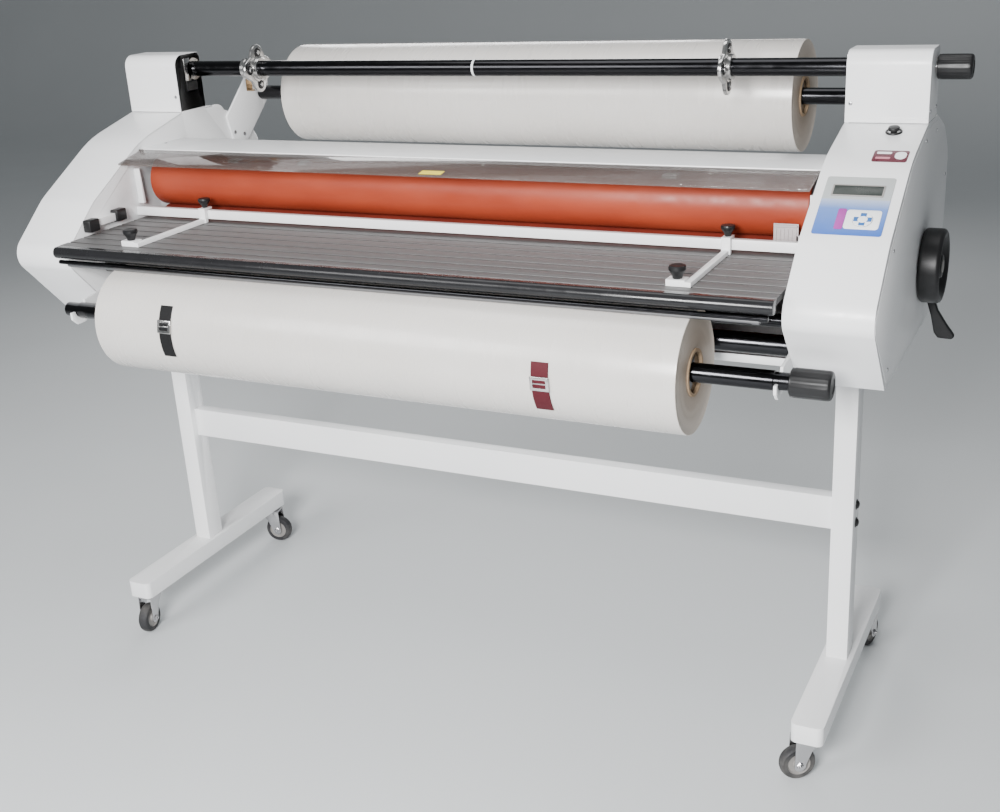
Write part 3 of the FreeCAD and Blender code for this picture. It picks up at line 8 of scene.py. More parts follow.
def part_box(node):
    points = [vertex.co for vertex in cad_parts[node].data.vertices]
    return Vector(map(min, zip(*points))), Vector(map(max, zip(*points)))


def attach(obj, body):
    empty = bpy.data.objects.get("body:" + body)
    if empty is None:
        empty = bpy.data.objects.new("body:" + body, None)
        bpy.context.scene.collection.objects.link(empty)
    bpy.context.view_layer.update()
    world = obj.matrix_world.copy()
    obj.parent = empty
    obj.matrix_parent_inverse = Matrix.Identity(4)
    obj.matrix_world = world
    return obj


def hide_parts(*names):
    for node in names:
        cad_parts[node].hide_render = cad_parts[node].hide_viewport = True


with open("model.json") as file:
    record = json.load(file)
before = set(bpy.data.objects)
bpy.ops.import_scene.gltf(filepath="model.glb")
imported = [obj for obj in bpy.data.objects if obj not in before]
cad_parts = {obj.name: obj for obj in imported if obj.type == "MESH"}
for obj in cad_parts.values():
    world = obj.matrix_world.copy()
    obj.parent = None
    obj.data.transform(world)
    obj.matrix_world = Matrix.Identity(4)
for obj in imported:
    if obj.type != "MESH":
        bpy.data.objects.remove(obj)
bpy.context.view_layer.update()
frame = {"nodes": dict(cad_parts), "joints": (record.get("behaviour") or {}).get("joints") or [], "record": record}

# ------------------------------------------------------------------ places
# Lengths are metres. at(x, y, z) counts from the middle between the two legs,
# in line with the legs' uprights, with z up from the floor.
legs_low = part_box("leg_left")[0]
legs_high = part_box("leg_right")[1]
roller_low, roller_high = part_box("bottom_roller_sleeve")
NIP_DEEP = -0.038
MID_X = (legs_low.x + legs_high.x) / 2.0
MID_Y = (roller_low.y + roller_high.y) / 2.0 - NIP_DEEP
WALL = 0.803       # a side frame's inner face, from the middle
OUTER = 0.958      # a housing's outer face, from the middle
PANEL_THICK = 0.0009
CLOSE = 2e-6       # vertices nearer than this are one


def at(x, y, z):
    return Vector((MID_X + x, MID_Y + y, z))


def middle(node):
    low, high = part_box(node)
    return (low + high) / 2.0


def lying(node):
    """Middle, radius and half length of a round node that lies along X."""
    low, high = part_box(node)
    return (low + high) / 2.0, (high.z - low.z) / 2.0, (high.x - low.x) / 2.0


joints = {joint["name"]: joint for joint in frame["joints"]}
body_of_node = {n: b for b, members in frame["record"]["behaviour"]["bodies"].items()
                for n in members}
slot_of_node = {part["node"]: part["material_slot"] for part in frame["record"]["subparts"]}


# ------------------------------------------------------------------ material kit
class Finish:
    """A node material under construction, with the few steps the finishes share."""

    def __init__(self, name, colour, roughness, metallic=0.0):
        self.material = bpy.data.materials.new(name)
        self.material.use_nodes = True
        self.tree = self.material.node_tree
        self.shader = self.tree.nodes["Principled BSDF"]
        self.shader.inputs["Base Color"].default_value = (*colour, 1.0)
        self.shader.inputs["Roughness"].default_value = roughness
        self.shader.inputs["Metallic"].default_value = metallic
        self.place = self.tree.nodes.new("ShaderNodeTexCoord").outputs["Object"]

    def put(self, socket, value):
        self.shader.inputs[socket].default_value = value

    def link(self, source, target):
        self.tree.links.new(source, target)

    def stretched(self, scale, centre=(0.0, 0.0, 0.0)):
        node = self.tree.nodes.new("ShaderNodeMapping")
        node.vector_type = "POINT"
        node.inputs["Location"].default_value = [-c * s for c, s in zip(centre, scale)]
        node.inputs["Scale"].default_value = scale
        self.link(self.place, node.inputs["Vector"])
        return node.outputs["Vector"]

    def noise(self, scale, detail=3.0, stretch=None):
        node = self.tree.nodes.new("ShaderNodeTexNoise")
        node.inputs["Scale"].default_value = scale
        node.inputs["Detail"].default_value = detail
        vector = self.place if stretch is None else self.stretched(stretch)
        self.link(vector, node.inputs["Vector"])
        return node.outputs["Fac"]

    def spread(self, source, low, high, start=0.3, end=0.7):
        node = self.tree.nodes.new("ShaderNodeMapRange")
        node.inputs["From Min"].default_value = start
        node.inputs["From Max"].default_value = end
        node.inputs["To Min"].default_value = low
        node.inputs["To Max"].default_value = high
        self.link(source, node.inputs["Value"])
        return node.outputs["Result"]

    def blend(self, source, first, second):
        """A colour that runs from first to second as source goes from 0 to 1."""
        node = self.tree.nodes.new("ShaderNodeValToRGB")
        node.color_ramp.elements[0].color = (*first, 1.0)
        node.color_ramp.elements[1].color = (*second, 1.0)
        self.link(source, node.inputs["Fac"])
        return node.outputs["Color"]

    def combine(self, mode, first, second):
        node = self.tree.nodes.new("ShaderNodeMath")
        node.operation = mode
        self.link(first, node.inputs[0])
        if isinstance(second, float):
            node.inputs[1].default_value = second
        else:
            self.link(second, node.inputs[1])
        return node.outputs["Value"]

    def colour(self, output):
        self.link(output, self.shader.inputs["Base Color"])

    def rough(self, output):
        self.link(output, self.shader.inputs["Roughness"])

    def bump(self, source, strength, distance):
        node = self.tree.nodes.new("ShaderNodeBump")
        node.inputs["Strength"].default_value = strength
        node.inputs["Distance"].default_value = distance
        self.link(source, node.inputs["Height"])
        previous = self.shader.inputs["Normal"].links
        if previous:
            self.link(previous[0].from_socket, node.inputs["Normal"])
        self.link(node.outputs["Normal"], self.shader.inputs["Normal"])


def powder_coat(name, colour, shade):
    """Stoved powder paint: fine orange peel, slightly uneven tone."""
    f = Finish(name, colour, 0.36)
    f.colour(f.blend(f.spread(f.noise(3.0, 4.0), 0.0, 1.0), shade, colour))
    f.rough(f.spread(f.noise(60.0, 4.0), 0.30, 0.46))
    f.bump(f.noise(900.0, 2.0), 0.12, 0.0002)
    f.bump(f.noise(9.0, 1.0), 0.10, 0.0006)
    f.put("Coat Weight", 0.12)
    f.put("Coat Roughness", 0.25)
    return f.material


def brushed_metal(name, colour, stretch, low, high, metallic=1.0):
    """Metal with fine lines along the stretched axis."""
    f = Finish(name, colour, low, metallic)
    lines = f.noise(1.0, 6.0, stretch)
    f.rough(f.spread(lines, low, high))
    dark = tuple(c * 0.72 for c in colour)
    f.colour(f.blend(f.spread(f.noise(1.0, 3.0, stretch), 0.0, 1.0), dark, colour))
    f.bump(lines, 0.18, 0.0001)
    return f.material


def moulded_plastic(name, colour, low, high, grain=1400.0):
    """Moulded plastic with a fine spark-eroded grain and handling shine."""
    f = Finish(name, colour, low)
    f.rough(f.spread(f.noise(35.0, 4.0), low, high))
    light = tuple(min(1.0, c * 1.5 + 0.004) for c in colour)
    f.colour(f.blend(f.noise(18.0, 3.0), colour, light))
    f.bump(f.noise(grain, 2.0), 0.16, 0.00015)
    f.put("Specular IOR Level", 0.32)
    return f.material


def polished_metal(name, colour, low, high):
    f = Finish(name, colour, low, 1.0)
    f.rough(f.spread(f.noise(45.0, 5.0), low, high))
    dark = tuple(c * 0.85 for c in colour)
    f.colour(f.blend(f.noise(14.0, 3.0), dark, colour))
    f.bump(f.noise(260.0, 3.0), 0.05, 0.0001)
    return f.material


def silicone(name, colour, deep):
    """Ground silicone sleeve: soft sheen, faint rings round the roller, dust."""
    f = Finish(name, colour, 0.42)
    tone = f.noise(1.0, 4.0, (5.0, 14.0, 14.0))
    f.colour(f.blend(f.spread(tone, 0.0, 1.0), deep, colour))
    rings = f.noise(1.0, 4.0, (900.0, 2.0, 2.0))
    f.rough(f.spread(f.noise(30.0, 5.0), 0.34, 0.52))
    f.bump(rings, 0.08, 0.0001)
    f.put("Specular IOR Level", 0.3)
    return f.material


def tyre_rubber(name):
    f = Finish(name, (0.03, 0.03, 0.032), 0.62)
    f.rough(f.spread(f.noise(70.0, 5.0), 0.5, 0.8))
    dust = f.spread(f.noise(22.0, 6.0), 0.0, 1.0, 0.45, 0.75)
    f.colour(f.blend(dust, (0.022, 0.022, 0.024), (0.10, 0.095, 0.09)))
    f.bump(f.noise(500.0, 4.0), 0.3, 0.0002)
    return f.material


def wound_film(name):
    """Many turns of clear film: pearly grey, long soft bands, lines round the roll."""
    f = Finish(name, (0.62, 0.59, 0.56), 0.28)
    bands = f.noise(1.0, 3.0, (2.2, 3.0, 3.0))
    f.colour(f.blend(f.spread(bands, 0.0, 1.0), (0.57, 0.545, 0.515), (0.65, 0.625, 0.595)))
    turns = f.noise(1.0, 5.0, (240.0, 1.5, 1.5))
    f.rough(f.spread(f.noise(1.0, 4.0, (30.0, 6.0, 6.0)), 0.20, 0.36))
    f.bump(turns, 0.03, 0.0002)
    f.bump(f.noise(1.0, 1.0, (1.2, 5.0, 5.0)), 0.05, 0.002)
    f.put("Coat Weight", 0.3)
    f.put("Coat Roughness", 0.16)
    f.put("Subsurface Weight", 0.05)
    f.put("Subsurface Radius", (0.02, 0.015, 0.012))
    return f.material


def radial(f, centre):
    """Distance from the roll's own axis, for rings on its ends."""
    split = f.tree.nodes.new("ShaderNodeSeparateXYZ")
    f.link(f.stretched((1.0, 1.0, 1.0), centre), split.inputs["Vector"])
    y2 = f.combine("MULTIPLY", split.outputs["Y"], split.outputs["Y"])
    z2 = f.combine("MULTIPLY", split.outputs["Z"], split.outputs["Z"])
    return f.combine("SQRT", f.combine("ADD", y2, z2), 0.0)


def film_edge(name, centre, outer):
    """The roll's cut end: hundreds of edges as fine rings, darker towards the core."""
    f = Finish(name, (0.45, 0.36, 0.28), 0.45)
    distance = radial(f, centre)
    scaled = f.combine("MULTIPLY", distance, 1500.0)
    node = f.tree.nodes.new("ShaderNodeTexNoise")
    node.noise_dimensions = "1D"
    node.inputs["Scale"].default_value = 1.0
    node.inputs["Detail"].default_value = 4.0
    f.link(scaled, node.inputs["W"])
    tone = f.spread(distance, 0.0, 1.0, outer * 0.35, outer)
    ramp = f.blend(tone, (0.34, 0.26, 0.19), (0.62, 0.55, 0.48))
    mix = f.tree.nodes.new("ShaderNodeMix")
    mix.data_type = "RGBA"
    mix.blend_type = "MULTIPLY"
    mix.inputs[0].default_value = 0.3
    f.link(ramp, mix.inputs[6])
    f.link(f.blend(node.outputs["Fac"], (0.72, 0.71, 0.70), (1.0, 1.0, 1.0)),
           mix.inputs[7])
    f.colour(mix.outputs[2])
    f.bump(node.outputs["Fac"], 0.25, 0.0003)
    return f.material


def core_card(name):
    """Spiral-wound card tube."""
    f = Finish(name, (0.36, 0.24, 0.14), 0.8)
    tone = f.noise(1.0, 6.0, (60.0, 160.0, 160.0))
    f.colour(f.blend(tone, (0.25, 0.16, 0.09), (0.46, 0.33, 0.21)))
    f.bump(f.noise(420.0, 5.0), 0.4, 0.0003)
    return f.material


def tinted_acrylic(name):
    """Smoked acrylic sheet, seen through, with wiping marks in its gloss."""
    f = Finish(name, (0.105, 0.080, 0.070), 0.06)
    f.rough(f.spread(f.noise(1.0, 5.0, (14.0, 60.0, 60.0)), 0.03, 0.11))
    f.put("Alpha", 0.56)
    f.put("Specular IOR Level", 0.6)
    f.put("Coat Weight", 0.5)
    f.put("Coat Roughness", 0.04)
    f.bump(f.noise(8.0, 2.0), 0.04, 0.001)
    return f.material


def panel_print(name, low, high, split):
    """Printed film: grey above, blue below that deepens towards the bottom."""
    f = Finish(name, (0.1, 0.25, 0.6), 0.38)
    parts = f.tree.nodes.new("ShaderNodeSeparateXYZ")
    f.link(f.place, parts.inputs["Vector"])
    ramp = f.tree.nodes.new("ShaderNodeValToRGB")
    stops = ((0.0, (0.025, 0.105, 0.42)), (0.45, (0.10, 0.20, 0.50)),
             (split - 0.02, (0.36, 0.43, 0.60)), (split, (0.40, 0.43, 0.44)),
             (1.0, (0.43, 0.45, 0.44)))
    for n, (where, tone) in enumerate(stops):
        element = ramp.color_ramp.elements[n] if n < 2 else ramp.color_ramp.elements.new(where)
        element.position = where
        element.color = (*tone, 1.0)
    f.link(f.spread(parts.outputs["Z"], 0.0, 1.0, low, high), ramp.inputs["Fac"])
    f.colour(ramp.outputs["Color"])
    f.rough(f.spread(f.noise(90.0, 4.0), 0.3, 0.45))
    f.bump(f.noise(1600.0, 2.0), 0.1, 0.0001)
    return f.material


def display_glass(name):
    f = Finish(name, (0.006, 0.010, 0.008), 0.2)
    cells = f.noise(1.0, 1.0, (700.0, 500.0, 500.0))
    f.colour(f.blend(f.spread(cells, 0.0, 1.0), (0.005, 0.009, 0.007), (0.014, 0.022, 0.017)))
    f.rough(f.spread(f.noise(30.0, 3.0), 0.22, 0.36))
    return f.material


def webbing(name, colour):
    """Woven strap: fine cross ribs."""
    f = Finish(name, colour, 0.6)
    f.colour(f.blend(f.noise(240.0, 3.0), colour, tuple(c * 1.5 + 0.003 for c in colour)))
    f.bump(f.noise(1.0, 2.0, (500.0, 1800.0, 1800.0)), 0.5, 0.0004)
    f.put("Specular IOR Level", 0.2)
    return f.material


WHITE = powder_coat("white_powder_coat", (0.86, 0.86, 0.862), (0.81, 0.815, 0.825))
ALUMINIUM = brushed_metal("brushed_aluminium", (0.30, 0.30, 0.31), (1.5, 260.0, 260.0),
                          0.42, 0.58)
TABLE_METAL = brushed_metal("anodised_table", (0.235, 0.23, 0.23), (1.5, 220.0, 220.0),
                            0.52, 0.66, 0.6)
# painted shade: a near-black finish laid in the feed table's grooves to stand for the shade inside them
GROOVE_PAINTED_SHADE = moulded_plastic("groove_shade", (0.03, 0.029, 0.029), 0.55, 0.7)
STEEL = brushed_metal("ground_steel", (0.48, 0.48, 0.5), (380.0, 6.0, 6.0), 0.22, 0.4)
CHROME = polished_metal("caster_chrome", (0.62, 0.61, 0.62), 0.08, 0.26)
BAR_METAL = polished_metal("black_chromed_bar", (0.035, 0.035, 0.038), 0.12, 0.24)
CHUCK_METAL = polished_metal("polished_chuck", (0.68, 0.67, 0.66), 0.14, 0.32)
BRASS = polished_metal("aged_brass", (0.36, 0.24, 0.13), 0.3, 0.5)
BLACK = moulded_plastic("black_moulding", (0.007, 0.007, 0.0075), 0.3, 0.46)
LIP_BLACK = moulded_plastic("black_lip_gloss", (0.009, 0.009, 0.010), 0.16, 0.3, 700.0)
MOTOR_GREY = powder_coat("motor_grey", (0.16, 0.165, 0.17), (0.12, 0.125, 0.13))
SILICONE = silicone("red_silicone", (0.33, 0.052, 0.022), (0.26, 0.036, 0.015))
# painted shade: a darker copy of the red silicone for the lower roller, which stands in the shadow under the top
# roller
SILICONE_LOWER_PAINTED_SHADE = silicone("red_silicone_lower_painted_shade", (0.22, 0.034, 0.02), (0.16, 0.024, 0.016))
TYRE = tyre_rubber("caster_tyre")
FILM = wound_film("wound_film")
SUPPLY_EDGE = film_edge("upper_film_edge", middle("supply_film"), 0.120)
LOWER_EDGE = film_edge("lower_film_edge", middle("lower_film"), 0.114)
CARD = core_card("core_card")
ACRYLIC = tinted_acrylic("tinted_acrylic")
panel_low, panel_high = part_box("control_panel")
PANEL = panel_print("panel_print", panel_low.z, panel_high.z, 0.62)
GLASS = display_glass("display_glass")
KEY_WHITE = moulded_plastic("white_key", (0.72, 0.76, 0.78), 0.3, 0.42)
KEY_BLUE = moulded_plastic("blue_key", (0.015, 0.09, 0.27), 0.3, 0.42)
MAGENTA = moulded_plastic("magenta_strip", (0.27, 0.03, 0.24), 0.32, 0.44)
BADGE = moulded_plastic("badge_maroon", (0.075, 0.008, 0.018), 0.22, 0.36)
BADGE_PINK = moulded_plastic("badge_pink", (0.42, 0.16, 0.20), 0.24, 0.38)
YELLOW = moulded_plastic("yellow_label", (0.75, 0.55, 0.03), 0.4, 0.55)
GREY = moulded_plastic("grey_moulding", (0.22, 0.21, 0.20), 0.34, 0.5)
RIB_GREY = moulded_plastic("ribbed_grey", (0.30, 0.27, 0.27), 0.3, 0.45)
STRAP_BLACK = webbing("strap_black", (0.005, 0.005, 0.0055))
STRAP_MAROON = webbing("strap_maroon", (0.055, 0.006, 0.010))

SLOT_FINISH = {
    "white_paint": WHITE, "aluminium": ALUMINIUM, "black_plastic": BLACK,
    "black_steel": BAR_METAL, "steel": STEEL, "chrome": CHROME,
    "chuck_metal": CHUCK_METAL, "motor_grey": MOTOR_GREY, "silicone_red": SILICONE,
    "wheel_rubber": TYRE, "film_roll": FILM, "core_card": CARD,
    "clear_shield": ACRYLIC, "panel_print": PANEL, "key_plastic": KEY_WHITE,
}


# ------------------------------------------------------------------ mesh kit
def nothing_selected():
    bpy.ops.object.select_all(action="DESELECT")


def only(piece):
    nothing_selected()
    piece.select_set(True)
    bpy.context.view_layer.objects.active = piece


def edit(piece, mode="VERT"):
    only(piece)
    bpy.ops.object.mode_set(mode="EDIT")
    bpy.ops.mesh.select_mode(type=mode)
    bpy.ops.mesh.select_all(action="SELECT")


def leave_edit():
    bpy.ops.object.mode_set(mode="OBJECT")


def tidy_normals():
    bpy.ops.mesh.select_all(action="SELECT")
    bpy.ops.mesh.remove_doubles(threshold=CLOSE)
    bpy.ops.mesh.normals_make_consistent(inside=False)


def one_point(name, point):
    """A new object in edit mode whose mesh is one selected vertex."""
    nothing_selected()
    bpy.ops.mesh.primitive_plane_add(size=1.0, location=(0.0, 0.0, 0.0))
    piece = bpy.context.object
    piece.name = name
    piece.data.name = name
    edit(piece)
    bpy.ops.mesh.merge(type="CENTER")
    bpy.ops.transform.translate(value=point)
    return piece


def draw_line(points):
    for a, b in zip(points[:-1], points[1:]):
        bpy.ops.mesh.extrude_region_move(
            TRANSFORM_OT_translate={"value": Vector(b) - Vector(a)})


def settle(piece):
    """Put the object's place into its mesh."""
    only(piece)
    bpy.ops.object.transform_apply(location=True, rotation=True, scale=True)


def apply_modifier(piece, kind, **settings):
    only(piece)
    modifier = piece.modifiers.new(kind.title(), kind)
    for key, value in settings.items():
        setattr(modifier, key, value)
    bpy.ops.object.modifier_apply(modifier=modifier.name)


def soften(piece, width, segments=2, angle=32.0):
    apply_modifier(piece, "BEVEL", width=width, segments=segments, limit_method="ANGLE",
                   angle_limit=math.radians(angle), use_clamp_overlap=True,
                   harden_normals=False, miter_outer="MITER_ARC")


def smooth(piece, angle=32.0):
    only(piece)
    bpy.ops.object.shade_smooth_by_angle(angle=math.radians(angle))


def block(name, low, high, width=0.0, segments=2):
    """A rounded block between two corners."""
    low, high = Vector(low), Vector(high)
    nothing_selected()
    bpy.ops.mesh.primitive_cube_add(size=1.0, location=(low + high) / 2.0,
                                    scale=high - low)
    piece = bpy.context.object
    piece.name = name
    settle(piece)
    if width:
        soften(piece, width, segments)
    return piece


def outline_solid(name, points, thickness):
    """A closed flat outline, given in space, thickened by a vector."""
    points = [Vector(p) for p in points]
    piece = one_point(name, points[0])
    draw_line(points)
    bpy.ops.mesh.select_all(action="SELECT")
    bpy.ops.mesh.edge_face_add()
    bpy.ops.mesh.extrude_region_move(TRANSFORM_OT_translate={"value": thickness})
    tidy_normals()
    leave_edit()
    return piece


def turned(name, profile, centre, axis="X", steps=64, angle=360.0):
    """A lathe shape: profile pairs are (along the axis, radius) from centre."""
    side = {"X": (1.0, 0.0, 0.0), "Y": (0.0, 1.0, 0.0), "Z": (0.0, 0.0, 1.0)}[axis]
    along = Vector(side)
    out = Vector((1.0, 0.0, 0.0)) if axis == "Z" else Vector((0.0, 0.0, 1.0))
    centre = Vector(centre)
    points = [centre + along * a + out * r for a, r in profile]
    piece = one_point(name, points[0])
    draw_line(points)
    bpy.ops.mesh.select_all(action="SELECT")
    bpy.ops.mesh.spin(steps=steps, angle=math.radians(angle), center=centre, axis=side)
    tidy_normals()
    leave_edit()
    return piece


def arc(u, v, radius, start, end, steps=6):
    """Points of an arc in a plane, degrees from the first axis."""
    spots = []
    for n in range(steps + 1):
        turn = math.radians(start + (end - start) * n / steps)
        spots.append((u + radius * math.cos(turn), v + radius * math.sin(turn)))
    return spots


def join(name, *pieces):
    nothing_selected()
    for piece in pieces:
        piece.select_set(True)
    bpy.context.view_layer.objects.active = pieces[0]
    bpy.ops.object.join()
    pieces[0].name = name
    pieces[0].data.name = name
    return pieces[0]


def carve(piece, cutter):
    apply_modifier(piece, "BOOLEAN", operation="DIFFERENCE", object=cutter, solver="EXACT")
    bpy.data.objects.remove(cutter)


def drill(piece, centre, radius, half=0.01, axis="X", steps=48):
    """Cut a round hole, twice half deep, about a point."""
    profile = [(-half, 0.0), (-half, radius), (half, radius), (half, 0.0)]
    carve(piece, turned("drill", profile, centre, axis, steps))


def turn_piece(piece, matrix):
    """Turn or move a piece's mesh in place."""
    piece.matrix_world = matrix
    settle(piece)


def paint(piece, material):
    piece.data.materials.clear()
    piece.data.materials.append(material)


def fit(piece, body, material=None, angle=32.0, replaced=()):
    """Finish a piece: smooth it, give it its finish and let it ride on its body."""
    smooth(piece, angle)
    if material is not None:
        paint(piece, material)
    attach(piece, body)
    if replaced:
        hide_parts(*replaced)
    return piece


def refined(node, width, segments=2, material=None, angle=32.0):
    """A copy of a CAD node with merged faces and softened edges, in its place."""
    source = frame["nodes"][node]
    piece = bpy.data.objects.new(node + "_skin", source.data.copy())
    bpy.context.scene.collection.objects.link(piece)
    only(piece)
    bpy.ops.mesh.customdata_custom_splitnormals_clear()
    edit(piece)
    bpy.ops.mesh.remove_doubles(threshold=1e-6)
    bpy.ops.mesh.dissolve_limited(angle_limit=math.radians(1.0))
    leave_edit()
    if width:
        soften(piece, width, segments)
    slot = slot_of_node[node]
    return fit(piece, body_of_node[node], material or SLOT_FINISH[slot], angle,
               (node,))


# ------------------------------------------------------------------ stand
def make_stand():
    for side in ("left", "right"):
        refined("leg_" + side, 0.0022, 3)
    refined("stretcher", 0.003, 3)


def dome_bolt(name, place, out, radius, rise):
    """A domed head with a hexagon socket, facing along X."""
    profile = [(0.0, 0.0), (0.0, radius)]
    profile += [(rise * math.sin(math.radians(t)), radius * math.cos(math.radians(t)) ** 0.6)
                for t in (20, 40, 58, 72)]
    profile += [(rise, radius * 0.42), (rise, 0.0)]
    head = turned(name, [(a * out, r) for a, r in profile], place, steps=28)
    nothing_selected()
    bpy.ops.mesh.primitive_cylinder_add(
        vertices=6, radius=radius * 0.36, depth=rise * 1.2,
        location=Vector(place) + Vector((rise * out, 0.0, 0.0)),
        rotation=(0.0, math.radians(90.0), 0.0))
    carve(head, bpy.context.object)
    return head


def make_bolts():
    low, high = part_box("stretcher_bolts")
    heads = []
    for end, out in ((low.x + 0.006, -1.0), (high.x - 0.006, 1.0)):
        for z in (0.498, 0.457):
            place = Vector((end, at(0.0, 0.005, z).y, z))
            heads.append(dome_bolt("bolt_head", place, out, 0.009, 0.006))
            washer = turned("bolt_washer", [(0.0, 0.0), (0.0, 0.0108), (0.0012 * out, 0.0108),
                                            (0.0012 * out, 0.0)], place, steps=28)
            heads.append(washer)
    fit(join("stretcher_bolt_heads", *heads), "machine", BLACK,
        replaced=("stretcher_bolts",))


def make_caster(corner):
    swivel = joints[corner + "_swivel"]
    roll = joints[corner + "_roll"]
    stem = Vector(swivel["pos_m"])
    axle = Vector(roll["pos_m"])
    run = Vector((axle.x - stem.x, axle.y - stem.y))
    trail = run.length
    placed = Matrix.Translation((stem.x, stem.y, 0.0)) @ Matrix.Rotation(
        math.atan2(run.y, run.x), 4, "Z")
    high = axle.z
    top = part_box("leg_left")[0].z
    cheeks = []
    for side in (-1.0, 1.0):
        outline = [(-0.016, top - 0.006), (0.037, top - 0.006)]
        outline += arc(trail, high, 0.0125, 20.0, -190.0, 12)
        outline += [(0.003, 0.070), (-0.010, 0.084)]
        y = 0.0165 * side
        cheek = outline_solid("cheek", [(u, y, v) for u, v in outline],
                              (0.0, 0.0025 * side, 0.0))
        soften(cheek, 0.0007, 2)
        cheeks.append(cheek)
        nut_start = y + 0.0025 * side
        nut = turned("nut", [(0.0, 0.0), (0.0, 0.0075), (0.0028 * side, 0.0075),
                             (0.0042 * side, 0.0055), (0.0042 * side, 0.0)],
                     (trail, nut_start, high), "Y", steps=6)
        cheeks.append(nut)
        cheeks.append(turned("axle_end", [(0.0, 0.0), (0.0, 0.0035), (0.0062 * side, 0.0035),
                                          (0.0066 * side, 0.0030), (0.0066 * side, 0.0)],
                             (trail, nut_start, high), "Y", steps=18))
    crown = block("crown", (-0.020, -0.019, top - 0.0085), (0.037, 0.019, top - 0.0045),
                  0.0016, 3)
    race = turned("race", [(-0.0045, 0.0), (-0.0045, 0.019), (-0.0030, 0.0222),
                           (-0.0012, 0.0222), (-0.0008, 0.0205), (-0.0002, 0.0205),
                           (-0.0002, 0.0)], (0.0, 0.0, top), "Z", steps=40)
    stud = turned("stud", [(-0.004, 0.0), (-0.004, 0.006), (0.018, 0.006), (0.018, 0.0)],
                  (0.0, 0.0, top), "Z", steps=20)
    rivet = turned("rivet", [(0.0, 0.0), (0.0, 0.008), (-0.0025, 0.0065), (-0.0035, 0.0)],
                   (0.0, 0.0, top - 0.0085), "Z", steps=24)
    fork = join("caster_fork_%s_pressed" % corner, crown, race, stud, rivet, *cheeks)
    turn_piece(fork, placed)
    fit(fork, "caster_" + corner, CHROME, replaced=("caster_fork_" + corner,))

    radius, half = high, 0.012
    tread = [(-half, 0.024), (-half + 0.001, radius - 0.0075)]
    tread += [(half * math.sin(math.radians(t)), radius - 0.006 + 0.006 * math.cos(
        math.radians(t))) for t in (-75, -50, -25, 0, 25, 50, 75)]
    tread += [(half - 0.001, radius - 0.0075), (half, 0.024)]
    tyre = turned("tyre", tread, (trail, 0.0, high), "Y", steps=56)
    hub_profile = [(-half, 0.0242), (-half + 0.0015, 0.0235), (-half + 0.0035, 0.0215),
                   (-half + 0.0035, 0.0115), (-half, 0.0095), (-half - 0.0025, 0.0090),
                   (-half - 0.0025, 0.0056)]
    hub_profile += [(-a, r) for a, r in reversed(hub_profile)]
    hub = turned("hub", hub_profile + hub_profile[:1], (trail, 0.0, high), "Y", steps=56)
    paint(tyre, TYRE)
    paint(hub, GREY)
    wheel = join("caster_wheel_%s_tyred" % corner, tyre, hub)
    turn_piece(wheel, placed)
    fit(wheel, "wheel_" + corner, replaced=("caster_wheel_" + corner,))


# ------------------------------------------------------------------ screws
def screw_head(name, place, normal, radius=0.0038, rise=0.0018):
    """A pan head with a cross recess, standing on a face."""
    profile = [(0.0, 0.0), (0.0, radius), (rise * 0.45, radius), (rise * 0.85, radius * 0.8),
               (rise, radius * 0.45), (rise, 0.0)]
    head = turned(name, profile, (0.0, 0.0, 0.0), "Z", steps=18)
    for turn in (0.0, 90.0):
        nothing_selected()
        bpy.ops.mesh.primitive_cube_add(size=1.0, location=(0.0, 0.0, rise),
                                        rotation=(0.0, 0.0, math.radians(turn)),
                                        scale=(radius * 1.1, radius * 0.26, rise * 0.9))
        settle(bpy.context.object)
        carve(head, bpy.context.object)
    turn_piece(head, Matrix.Translation(place)
               @ Vector(normal).to_track_quat("Z", "Y").to_matrix().to_4x4())
    return head


def screw_set(name, places, normal, radius=0.0038):
    """Copies of one screw head, each with its own mesh, joined into one piece."""
    first = screw_head(name, places[0], normal, radius)
    heads = [first]
    for place in places[1:]:
        copy = first.copy()
        copy.data = first.data.copy()
        bpy.context.scene.collection.objects.link(copy)
        turn_piece(copy, Matrix.Translation(Vector(place) - Vector(places[0])))
        heads.append(copy)
    return fit(join(name, *heads), "machine", STEEL)


# ------------------------------------------------------------------ housings
def side_panel(side, sign):
    """The outer side panel: a flush sheet with a seam all round it."""
    outline = [(0.066, 1.255), (-0.078, 1.2165), (-0.255, 1.1105), (-0.371, 1.014),
               (-0.366, 0.990), (-0.243, 0.862), (0.296, 0.862), (0.360, 1.020),
               (0.360, 1.128), (0.330, 1.178), (0.296, 1.2155), (0.186, 1.255)]
    points = [at(sign * OUTER, y, z) for y, z in outline]
    panel = outline_solid("side_panel_" + side, points, (PANEL_THICK * sign, 0.0, 0.0))
    soften(panel, 0.0006, 2)
    if side == "right":
        # ways for the cam shaft and the lock lever's pin
        for spot, radius in ((middle("handwheel"), 0.0115),
                             (Vector(joints["lever_turn"]["pos_m"]), 0.0082)):
            drill(panel, (points[0].x, spot.y, spot.z), radius)
    return fit(panel, "machine", WHITE)


